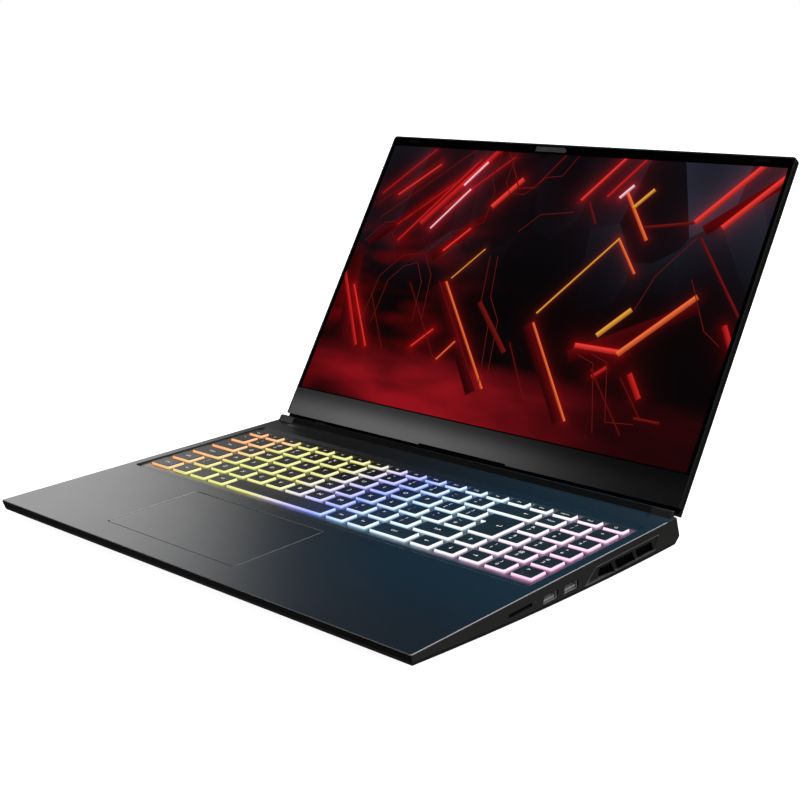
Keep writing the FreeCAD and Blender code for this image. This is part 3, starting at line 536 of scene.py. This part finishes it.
def rounded(points, radius, steps=4):
    """The outline with each right-angled corner turned into an arc."""
    curve = []
    for index, point in enumerate(points):
        here = Vector(point)
        before = (Vector(points[index - 1]) - here).normalized()
        after = (Vector(points[(index + 1) % len(points)]) - here).normalized()
        centre = here + radius * (before + after)
        for step in range(steps + 1):
            angle = math.pi / 2 * step / steps
            curve.append(centre - radius * (after * math.cos(angle) + before * math.sin(angle)))
    return curve


def rings(mesh, profile, outline, materials):
    """Closed solid through rounded outlines: (z, inset, radius) in turn, with a material for each band."""
    loops = []
    for z, inset, radius in profile:
        points = rounded(offset(outline, inset), radius)
        loops.append([mesh.verts.new((p.x, p.y, z)) for p in points])
    for lower, upper, material in zip(loops, loops[1:], materials):
        for index in range(len(lower)):
            quad = (lower[index - 1], lower[index], upper[index], upper[index - 1])
            mesh.faces.new(quad).material_index = material
    mesh.faces.new(list(reversed(loops[0]))).material_index = materials[0]
    mesh.faces.new(loops[-1]).material_index = materials[-1]


def rectangle(x0, x1, y0, y1):
    return [(x0, y0), (x1, y0), (x1, y1), (x0, y1)]


def block(mesh, outline, z0, z1, edge):
    """A block with softened upper and lower rims and upright edges."""
    profile = [(z0, edge, edge), (z0 + edge, 0, edge), (z1 - edge, 0, edge), (z1, edge, edge)]
    rings(mesh, profile, outline, [0, 0, 0])


def prism(mesh, outline, z0, z1, material=0):
    """A plain upright solid on any outline."""
    low = [mesh.verts.new((x, y, z0)) for x, y in outline]
    high = [mesh.verts.new((x, y, z1)) for x, y in outline]
    faces = [list(reversed(low)), high]
    faces += [(low[i - 1], low[i], high[i], high[i - 1]) for i in range(len(low))]
    for face in faces:
        mesh.faces.new(face).material_index = material


# ------------------------------------------------------------------ keys

KEY_PROFILE = [  # (z, inset from the foot, corner radius)
    (KEY_FOOT_Z, 0.00, 1.0), (-1.2, 0.22, 1.0), (-0.2, 0.48, 1.0), (0.30, 0.62, 1.0),
    (0.46, 0.72, 0.95), (KEY_TOP_Z, 1.02, 0.9), (0.53, 2.0, 0.6), (0.49, 3.4, 0.3),
]
# Material of each band of the profile, among those of a key
TOP, SKIRT, LEGEND = 0, 1, 2
KEY_FACES = [SKIRT, SKIRT, SKIRT, TOP, TOP, TOP, TOP]
LEGEND_TOP_Z = 0.515
LEGEND_DEPTH = 0.08
LETTER_SIZE, SIGN_SIZE, WORD_SIZE, SMALL_WORD_SIZE = 4.6, 4.0, 3.0, 2.6
# Keys less deep than this get small words
SMALL_KEY_DEPTH = 12

SECOND_SIGNS = dict(zip("`1234567890-=[];'#\\,./", "~!@#$%^&*()_+{}:\"~|<>?"))
LABELS = {
    "function_row_keys": ["Esc", *(f"F{number}" for number in range(1, 13)),
                          "Ins", "Prt", "Del", "Home", "End"],
    "number_row_keys": list("`1234567890-="),
    "upper_letter_keys": list("QWERTYUIOP[]"),
    "home_letter_keys": list("ASDFGHJKL;'#"),
    "lower_letter_keys": list("\\ZXCVBNM,./"),
    "bottom_row_keys": ["Fn", "", "Alt", "Alt", "Fn", "Ctrl"],
    "number_pad_keys": ["0", ".", "1", "2", "3", "4", "5", "6", "7", "8", "9", "Num", "/", "*"],
    "tab_key": ["Tab"], "caps_lock_key": ["Caps"], "left_shift_key": ["Shift"], "right_shift_key": ["Shift"],
    "left_control_key": ["Ctrl"], "space_bar": [""], "enter_key": ["enter"], "backspace_key": ["back"],
    "arrow_up_key": ["up"], "arrow_left_key": ["left"], "arrow_down_key": ["down"],
    "arrow_right_key": ["right"], "power_button": ["power"],
}
ARROWS = {"up": 90, "left": 180, "down": 270, "right": 0, "back": 180, "enter": 180}

glyph_meshes = {}


def glyph(text, size):
    """Flat-topped letters, centred, as a mesh."""
    if (text, size) not in glyph_meshes:
        curve = bpy.data.curves.new("glyph", "FONT")
        curve.body, curve.size = text, size
        curve.align_x, curve.align_y = "CENTER", "CENTER"
        curve.resolution_u = 2
        curve.extrude = LEGEND_DEPTH / 2
        holder = bpy.data.objects.new("glyph", curve)
        glyph_meshes[text, size] = bpy.data.meshes.new_from_object(holder)
        bpy.data.objects.remove(holder)
    return glyph_meshes[text, size]


def add_mesh(mesh, data, place, material):
    """Copies a mesh into the bmesh being built, at a place and with one material."""
    copy = data.copy()
    copy.transform(place)
    copy.materials.clear()
    first = len(mesh.faces)
    mesh.from_mesh(copy)
    mesh.faces.ensure_lookup_table()
    for face in mesh.faces[first:]:
        face.material_index = material
    bpy.data.meshes.remove(copy)


def stamp(mesh, outline, x, y, angle=0.0):
    """A thin raised sign from one outline, placed on a key top."""
    turn = Matrix.Rotation(math.radians(angle), 2)
    points = [turn @ Vector(p) + Vector((x, y)) for p in outline]
    prism(mesh, points, LEGEND_TOP_Z - LEGEND_DEPTH, LEGEND_TOP_Z, LEGEND)


ARROW = [(-1.9, -0.22), (0.2, -0.22), (0.2, -1.0), (1.7, 0.0), (0.2, 1.0), (0.2, 0.22), (-1.9, 0.22)]


def power_sign(mesh, x, y):
    """An open ring with a bar in its gap."""
    outer, inner = 1.15, 0.85
    angles = [math.radians(angle) for angle in range(125, 416, 15)]
    ring = [(outer * math.cos(angle), outer * math.sin(angle)) for angle in angles]
    ring += [(inner * math.cos(angle), inner * math.sin(angle)) for angle in reversed(angles)]
    stamp(mesh, ring, x, y)
    stamp(mesh, rectangle(-0.15, 0.15, 0.3, 1.5), x, y)


def legend(mesh, label, outline):
    """Puts the letters or the sign of a label on the key with this outline."""
    xs = [x for x, _ in outline]
    ys = [y for _, y in outline]
    x, y = (min(xs) + max(xs)) / 2, (min(ys) + max(ys)) / 2
    texts = []
    if label in ARROWS:
        # On the two wide keys the arrow stands to the right of the middle
        side = {"back": 9.0, "enter": 4.0}.get(label, 0.0)
        stamp(mesh, ARROW, x + side, y, ARROWS[label])
        if label == "enter":
            stamp(mesh, rectangle(1.45, 1.9, 0.22, 2.2), x + side, y)
    elif label == "power":
        power_sign(mesh, x, y)
    elif label in SECOND_SIGNS:
        texts = [(SECOND_SIGNS[label], SIGN_SIZE, -1.6, 2.6), (label, SIGN_SIZE, -1.6, -2.4)]
    elif len(label) == 1:
        texts = [(label, LETTER_SIZE, -0.6, 0.4)]
    elif label:
        small = max(ys) - min(ys) < SMALL_KEY_DEPTH
        texts = [(label, SMALL_WORD_SIZE if small else WORD_SIZE, 0.0, 0.0)]
    for text, size, aside, back in texts:
        spot = Matrix.Translation((x + aside, y + back, LEGEND_TOP_Z - LEGEND_DEPTH / 2))
        add_mesh(mesh, glyph(text, size), spot, LEGEND)


def islands(mesh):
    """The separate solids of a mesh, each as a list of its vertices."""
    left = set(mesh.verts)
    while left:
        island, reached = [], [left.pop()]
        while reached:
            vert = reached.pop()
            island.append(vert)
            for edge in vert.link_edges:
                other = edge.other_vert(vert)
                if other in left:
                    left.remove(other)
                    reached.append(other)
        yield island


def foot_outline(island):
    """The outline of a key at its foot: a rectangle, or an L whose front is narrower on the left."""
    tolerance = 0.1
    foot = [vert.co for vert in island if vert.co.z < KEY_FOOT_Z + tolerance]
    x0, x1 = min(p.x for p in foot), max(p.x for p in foot)
    y0, y1 = min(p.y for p in foot), max(p.y for p in foot)
    front_x = min(p.x for p in foot if p.y < y0 + 0.4 * (y1 - y0))
    if front_x < x0 + 1:
        return rectangle(x0, x1, y0, y1)
    step = min(p.y for p in foot if p.x < front_x - 1)
    return [(front_x, y0), (x1, y0), (x1, y1), (x0, y1), (x0, step), (front_x, step)]


def key_outlines(node):
    """The foot outline of each key in a CAD node, in deck mm, from front to back and left to right."""
    solid = bmesh.new()
    solid.from_mesh(nodes[node].data)
    solid.transform(Matrix.Scale(1 / MM, 4) @ DECK.inverted())
    bmesh.ops.remove_doubles(solid, verts=solid.verts, dist=0.001)
    outlines = [foot_outline(island) for island in islands(solid)]
    solid.free()
    return sorted(outlines, key=lambda outline: (round(outline[0][1]), outline[0][0]))


def keys():
    """Caps with lit skirts and legends, one piece for each CAD node of keys."""
    for node, labels in LABELS.items():
        mesh = bmesh.new()
        for outline, label in zip(key_outlines(node), labels, strict=True):
            rings(mesh, KEY_PROFILE, outline, KEY_FACES)
            legend(mesh, label, outline)
        cap = piece(node + "_caps", mesh, DECK, node, [MATERIALS["key_plastic"], KEY_SKIRT, KEY_LEGEND], 40)
        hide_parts(node)


keys()


# ------------------------------------------------------------------ screen picture

# Neon bars of the picture: ends as shares of its width and height, width in mm, kind
BARS = [
    (0.02, 0.80, 0.13, 0.99, 1.0, "red"), (0.07, 0.80, 0.16, 0.93, 1.6, "hot"),
    (0.12, 0.62, 0.27, 0.96, 2.2, "red"), (0.20, 0.68, 0.27, 0.84, 1.8, "white"),
    (0.25, 0.86, 0.29, 0.95, 2.2, "white"), (0.17, 0.70, 0.32, 1.02, 5.0, "red"),
    (0.35, 0.79, 0.40, 0.89, 4.6, "hot"), (0.26, 0.60, 0.31, 0.69, 2.0, "hot"),
    (0.31, 0.50, 0.37, 0.62, 1.1, "gold"), (0.30, 0.48, 0.49, 0.13, 2.0, "orange"),
    (0.28, 0.48, 0.47, 0.13, 0.8, "dim"), (0.00, 0.46, 0.11, 0.20, 3.0, "red"),
    (0.04, 0.42, 0.14, 0.20, 1.4, "hot"), (0.27, 0.23, 0.31, 0.30, 1.6, "hot"),
    (0.35, 0.20, 0.38, 0.27, 1.6, "orange"), (0.41, 0.42, 0.51, 0.27, 4.2, "dim"),
    (0.56, 0.38, 0.71, 0.08, 2.0, "orange"), (0.56, 0.42, 0.69, 0.71, 1.6, "gold"),
    (0.69, 0.71, 0.75, 0.60, 2.0, "orange"), (0.57, 0.84, 0.65, 1.02, 2.4, "hot"),
    (0.63, 0.86, 0.70, 1.02, 2.2, "red"), (0.59, 0.83, 0.62, 0.76, 1.8, "dim"),
    (0.67, 0.88, 0.75, 0.72, 2.6, "orange"), (0.70, 0.83, 0.73, 0.89, 3.0, "gold"),
    (0.66, 0.86, 0.68, 0.90, 2.6, "white"), (0.74, 0.76, 0.84, 0.79, 2.4, "dim"),
    (0.85, 0.80, 0.96, 1.02, 4.4, "hot"), (0.91, 0.79, 1.02, 1.00, 4.4, "hot"),
    (0.87, 0.74, 1.01, 0.48, 2.0, "dim"), (0.68, 0.33, 0.78, 0.33, 4.0, "hot"),
    (0.78, 0.33, 0.90, 0.54, 4.4, "orange"), (0.72, 0.38, 0.77, 0.47, 4.0, "gold"),
    (0.82, 0.26, 0.85, 0.20, 4.2, "red"), (0.74, 0.24, 0.76, 0.27, 3.0, "red"),
    (0.86, 0.13, 0.91, 0.13, 2.2, "dim"), (0.73, 0.26, 0.84, 0.07, 0.8, "dim"),
    (0.80, 0.25, 0.87, 0.13, 0.8, "dim"), (0.52, 0.30, 0.60, 0.12, 0.8, "dim"),
    (0.10, 0.40, 0.19, 0.20, 0.7, "dim"), (0.20, 0.46, 0.34, 0.20, 0.7, "dim"),
    (0.33, 1.02, 0.40, 0.86, 1.2, "dim"), (0.40, 0.86, 0.44, 0.87, 1.2, "dim"),
    (0.44, 0.87, 0.50, 1.02, 1.2, "dim"), (0.98, 0.46, 1.02, 0.36, 4.0, "red"),
    (0.04, 0.70, 0.26, 1.02, 0.8, "dim"), (0.02, 0.76, 0.16, 0.96, 0.8, "dim"),
    (0.10, 0.68, 0.22, 0.86, 1.0, "red"), (0.22, 0.76, 0.36, 0.98, 1.0, "red"),
    (0.14, 0.74, 0.34, 1.02, 9.0, "plane"), (0.04, 0.60, 0.20, 0.84, 7.0, "plane"),
    (0.24, 0.58, 0.34, 0.74, 8.0, "plane"), (0.29, 0.46, 0.46, 0.12, 9.0, "plane"),
    (0.55, 0.36, 0.69, 0.08, 7.0, "plane"), (0.02, 0.52, 0.06, 0.24, 12.0, "plane"),
    (0.68, 0.30, 0.90, 0.50, 10.0, "plane"), (0.88, 0.78, 1.02, 0.98, 9.0, "plane"),
]
# Core colour, and the colour and reach in mm of the glow, if there is one
BAR_KINDS = {
    "plane": ((0.045, 0.001, 0.002), None, None),
    "red": ((0.52, 0.012, 0.012), (0.16, 0.001, 0.001), 9.0),
    "hot": ((0.80, 0.040, 0.030), (0.30, 0.002, 0.002), 9.0),
    "orange": ((0.84, 0.140, 0.035), (0.22, 0.003, 0.001), 6.0),
    "gold": ((0.80, 0.340, 0.040), (0.12, 0.010, 0.001), 5.0),
    "white": ((0.98, 0.600, 0.680), (0.40, 0.010, 0.020), 8.0),
    "dim": ((0.15, 0.006, 0.006), (0.02, 0.000, 0.000), 4.0),
    "line": ((0.14, 0.008, 0.007), None, None),
}
# Thin outlines of the panels, as shares of the picture
OUTLINES = [
    [(0.02, 0.60), (0.06, 0.68), (0.12, 0.70), (0.17, 0.80), (0.28, 0.98)],
    [(0.10, 0.29), (0.105, 0.47), (0.15, 0.56), (0.21, 0.58), (0.25, 0.50), (0.27, 0.33)],
    [(0.13, 0.29), (0.135, 0.46), (0.165, 0.52), (0.20, 0.54), (0.23, 0.47), (0.245, 0.32)],
    [(0.21, 0.58), (0.26, 0.67), (0.34, 0.72)],
    [(0.34, 0.72), (0.34, 0.84), (0.32, 0.89), (0.32, 1.02)],
    [(0.36, 1.02), (0.36, 0.88), (0.38, 0.84), (0.42, 0.84), (0.46, 0.91), (0.50, 0.92), (0.53, 1.02)],
    [(0.39, 0.60), (0.41, 0.43), (0.45, 0.35), (0.48, 0.14)],
    [(0.41, 0.60), (0.43, 0.45), (0.47, 0.37), (0.50, 0.12)],
    [(0.44, 0.70), (0.48, 0.77), (0.56, 0.79)],
    [(0.86, 0.74), (0.80, 0.60), (0.78, 0.48)],
    [(0.69, 0.30), (0.73, 0.28), (0.78, 0.06)],
    [(0.72, 0.31), (0.76, 0.29), (0.80, 0.10), (0.86, 0.11)],
    [(0.88, 0.60), (0.94, 0.44), (0.98, 0.40)],
]
# Width of those outlines and size of the dark panels behind them, in mm
LINE_WIDTH = 0.7
PANEL_SIZE = 52
BARS += [(*start, *end, LINE_WIDTH, "line") for path in OUTLINES for start, end in zip(path, path[1:])]


def panels(g, point, share_x, share_y):
    """Dark leaning panels, each with its own tone, paler towards the top and the sides."""
    cells = g.tree.nodes.new("ShaderNodeTexVoronoi")
    cells.inputs["Scale"].default_value = 1 / PANEL_SIZE
    cells.inputs["Randomness"].default_value = 0.7
    g.feed(cells.inputs["Vector"], g.vector("MULTIPLY", point, (1.0, 0.62, 1.0)))
    tone = g.vector("DOT_PRODUCT", cells.outputs["Color"], (0.6, 0.4, 0.0))
    tone = g.math("MULTIPLY", tone, g.fade(share_y, 0.40, 0.85))
    aside = g.math("ABSOLUTE", g.math("SUBTRACT", share_x, 0.47))
    tone = g.math("MULTIPLY", tone, g.fade(aside, 0.05, 0.30, 0.15, 1.0))
    tone = g.math("MULTIPLY", tone, g.fade(cells.outputs["Distance"], 0.0, 0.9, 0.2, 1.0))
    return g.mix(tone, (0.0010, 0.0006, 0.0010), (0.024, 0.028, 0.046))


def red_light(g, light, share_x, share_y):
    """Adds a red haze on the left half and a red floor that darkens to the right."""
    cloud = g.noise(0.07, 2, (1, 3, 3))
    haze = g.math("MULTIPLY", g.fade(share_x, 0.50, 0.05), g.fade(cloud, 0.40, 0.75))
    light = g.mix(g.math("MULTIPLY", haze, g.fade(share_y, 0.9, 0.5)), light, (0.10, 0.001, 0.002))
    floor = g.math("MULTIPLY", g.fade(share_y, 0.23, 0.13), g.fade(share_x, 0.85, 0.40, 0.08, 1.0))
    floor = g.math("MULTIPLY", floor, g.fade(g.math("ADD", share_x, share_y), 0.02, 0.30, 0.1, 1.0))
    floor = g.math("MULTIPLY", floor, g.fade(cloud, 0.25, 0.70, 0.35, 1.0))
    return g.mix(floor, light, (0.27, 0.005, 0.010))


def neon(g, light, point, kind):
    """Adds all bars of one kind, each darker along one side, and the glow around them."""
    core, glow, reach = BAR_KINDS[kind]
    body = lit = halo = 0.0
    for x0, y0, x1, y1, width, bar_kind in BARS:
        if bar_kind != kind:
            continue
        side, over = g.segment(point, (x0 * SCREEN_WIDTH, y0 * SCREEN_HEIGHT),
                               (x1 * SCREEN_WIDTH, y1 * SCREEN_HEIGHT))
        bar = g.fade(g.math("MAXIMUM", g.math("ABSOLUTE", side), over), width * 0.55, width * 0.40)
        shade = g.fade(side, -0.4 * width, 0.3 * width, 0.45, 1.0)
        body = g.math("MAXIMUM", body, bar)
        lit = g.math("MAXIMUM", lit, g.math("MULTIPLY", bar, shade))
        if glow:
            distance = g.math("SQRT", g.math("MULTIPLY_ADD", side, side, g.math("MULTIPLY", over, over)))
            near = g.math("DIVIDE", reach, g.math("ADD", distance, reach))
            halo = g.math("ADD", halo, g.math("POWER", near, 4.0))
    if glow:
        light = g.vector("MULTIPLY_ADD", halo, glow, light)
    return g.vector("MULTIPLY_ADD", lit, core, g.mix(body, light, grey(0.0)))


def screen_picture_material():
    """A lit abstract picture: dark panels, neon bars with a glow, and a red floor."""
    g = Graph("screen_picture")
    right = LID.to_3x3() @ Vector((1, 0, 0))
    up = LID.to_3x3() @ Vector((0, 1, 0))
    corner = LID @ (Vector((-SCREEN_WIDTH / 2, CHIN, 0)) * MM)
    x = g.math("MULTIPLY", g.along(right, right.dot(corner)), 1 / MM)
    y = g.math("MULTIPLY", g.along(up, up.dot(corner)), 1 / MM)
    point = g.point(x, y)
    share_x = g.math("MULTIPLY", x, 1 / SCREEN_WIDTH)
    share_y = g.math("MULTIPLY", y, 1 / SCREEN_HEIGHT)
    light = red_light(g, panels(g, point, share_x, share_y), share_x, share_y)
    for kind in BAR_KINDS:
        light = neon(g, light, point, kind)
    g.material.cycles.emission_sampling = "NONE"
    return g.set(Base_Color=grey(0.003), Roughness=0.45, Specular_IOR_Level=0.0,
                 Emission_Color=light, Emission_Strength=1.0)


def screen_picture():
    """The picture as a thin sheet on the display, a little clear of the bezel around it."""
    mesh = bmesh.new()
    clear, corner, thickness, edge = 0.05, 0.9, 0.5, 0.08
    half = SCREEN_WIDTH / 2 - clear
    outline = rectangle(-half, half, CHIN + clear, CHIN + SCREEN_HEIGHT - clear)
    top = -BEZEL + thickness
    rings(mesh, [(-BEZEL, 0, corner), (top - edge, 0, corner), (top, edge, corner)], outline, [0, 0])
    sheet = piece("screen_picture", mesh, LID, "lid", [screen_picture_material()], 30)
    sheet.visible_glossy = False


screen_picture()


# ------------------------------------------------------------------ camera cover

def webcam_shutter():
    """The sliding cover: a ribbed strip whose right end is cut at a slant."""
    mesh = bmesh.new()
    edge = 0.08
    left, right = -33.0, -4.4
    y0, y1 = WINDOW_HEIGHT - 2.1, WINDOW_HEIGHT + 2.1
    z0, z1 = -0.7, -0.15
    outline = [(left, y0), (right - 1.2, y0), (right, y0 + 1.6), (right - 2.8, y1), (left, y1)]
    prism(mesh, outline, z0, z1)
    bmesh.ops.bevel(mesh, geom=mesh.edges[:], offset=edge, segments=2, affect="EDGES")
    ribs, first_rib, pitch, width = 5, -20.5, 0.9, 0.4
    for rib in range(ribs):
        x = first_rib + pitch * rib
        block(mesh, rectangle(x, x + width, y0 + 0.7, y1 - 0.7), z1 - 0.05, z1 + 0.12, edge)
    cover = piece("webcam_cover", mesh, LID, "webcam_shutter", [MATERIALS["shutter_plastic"]], 35)
    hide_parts("webcam_shutter")


webcam_shutter()


# ------------------------------------------------------------------ stage, light and camera

FLOOR_SIZE = 40.0


def stage():
    """A wide pale floor that lights nothing else."""
    bpy.ops.mesh.primitive_plane_add(size=FLOOR_SIZE, location=(0, 0, 0))
    floor = bpy.context.object
    floor.name = "floor"
    g = Graph("floor")
    tone = g.noise(0.8, 2)
    pale = g.set(Base_Color=g.mix(tone, grey(0.88), grey(0.92)), Roughness=0.9, Specular_IOR_Level=0.1,
                 Emission_Color=grey(1.0), Emission_Strength=0.95)
    floor.data.materials.append(pale)
    floor.visible_diffuse = floor.visible_glossy = False


def towards(bearing, elevation):
    """Unit vector at a bearing in degrees left of +Y and an elevation."""
    turn, rise = math.radians(bearing), math.radians(elevation)
    return Vector((-math.sin(turn) * math.cos(rise), math.cos(turn) * math.cos(rise), math.sin(rise)))


# Soft boxes of the studio: bearing and elevation, radius of the full light and of its fading edge,
# all in degrees, and brightness
SOFT_BOXES = [
    (66, 19, 8, 18.5, 1.9),  # behind on the left: the sheen of the deck
    (131.2, 32.0, 0, 7.6, 3.0),  # in front on the left: the soft light on the chin
    (-20, 40, 6, 22, 2.5),  # behind on the right: the thin line along the right edge
    (-85, 20, 10, 30, 3.0),  # low on the right: the ports and vents
    (0, 90, 12, 38, 1.4),  # overhead
    (0, -90, 40, 80, 0.30),  # floor bounce
]
AMBIENT = 0.04


def soft_box(tree, direction, bearing, elevation, full, outer, brightness):
    """Light from one part of the sky, as a shader value."""
    dot = tree.nodes.new("ShaderNodeVectorMath")
    dot.operation = "DOT_PRODUCT"
    tree.links.new(direction, dot.inputs[0])
    dot.inputs[1].default_value = towards(bearing, elevation)
    box = tree.nodes.new("ShaderNodeMapRange")
    box.interpolation_type = "SMOOTHSTEP"
    tree.links.new(dot.outputs["Value"], box.inputs["Value"])
    box.inputs["From Min"].default_value = math.cos(math.radians(outer))
    box.inputs["From Max"].default_value = math.cos(math.radians(full))
    box.inputs["To Max"].default_value = brightness
    return box.outputs[0]


def lighting():
    """White to the eye; a dim room with soft boxes for everything else."""
    world = bpy.data.worlds.new("studio")
    world.use_nodes = True
    tree = world.node_tree
    direction = tree.nodes.new("ShaderNodeTexCoord").outputs["Generated"]
    ambient = tree.nodes.new("ShaderNodeValue")
    ambient.outputs[0].default_value = AMBIENT
    total = ambient.outputs[0]
    for box in SOFT_BOXES:
        add = tree.nodes.new("ShaderNodeMath")
        tree.links.new(soft_box(tree, direction, *box), add.inputs[0])
        tree.links.new(total, add.inputs[1])
        total = add.outputs[0]
    eye = tree.nodes.new("ShaderNodeLightPath").outputs["Is Camera Ray"]
    strength = tree.nodes.new("ShaderNodeMath")
    strength.operation = "MAXIMUM"
    tree.links.new(eye, strength.inputs[0])
    tree.links.new(total, strength.inputs[1])
    background = tree.nodes["Background"]
    background.inputs["Color"].default_value = (1, 1, 1, 1)
    tree.links.new(strength.outputs[0], background.inputs["Strength"])
    bpy.context.scene.world = world
    bpy.context.scene.view_settings.view_transform = "Standard"


# Camera: angles above and to the right of the deck and its own turn in degrees, the point that it
# looks at in deck mm, its distance from that point in metres, and its lens in mm
CAMERA_ELEVATION, CAMERA_YAW, CAMERA_ROLL = 15.053, 41.360, -0.460
CAMERA_TARGET = (3.07, 195.06, 60.0)
CAMERA_DISTANCE = 0.8996
LENS, SENSOR = 60.03, 36.0


def camera():
    """Looks from the front right, a little above the deck."""
    elevation, yaw, roll = (math.radians(a) for a in (CAMERA_ELEVATION, CAMERA_YAW, CAMERA_ROLL))
    level = Vector((-math.sin(yaw), math.cos(yaw), 0))
    look = math.cos(elevation) * level - math.sin(elevation) * Vector((0, 0, 1))
    right = Vector((math.cos(yaw), math.sin(yaw), 0))
    up = right.cross(look)
    turned = math.cos(roll) * right + math.sin(roll) * up
    upright = -math.sin(roll) * right + math.cos(roll) * up
    turn = Matrix((turned, upright, -look)).transposed().to_4x4()
    lens = bpy.data.cameras.new("camera")
    lens.lens, lens.sensor_width = LENS, SENSOR
    obj = bpy.data.objects.new("camera", lens)
    bpy.context.scene.collection.objects.link(obj)
    place = Matrix.Translation(Vector(CAMERA_TARGET) * MM - CAMERA_DISTANCE * look)
    obj.matrix_world = DECK @ place @ turn
    bpy.context.scene.camera = obj


stage()
lighting()
camera()
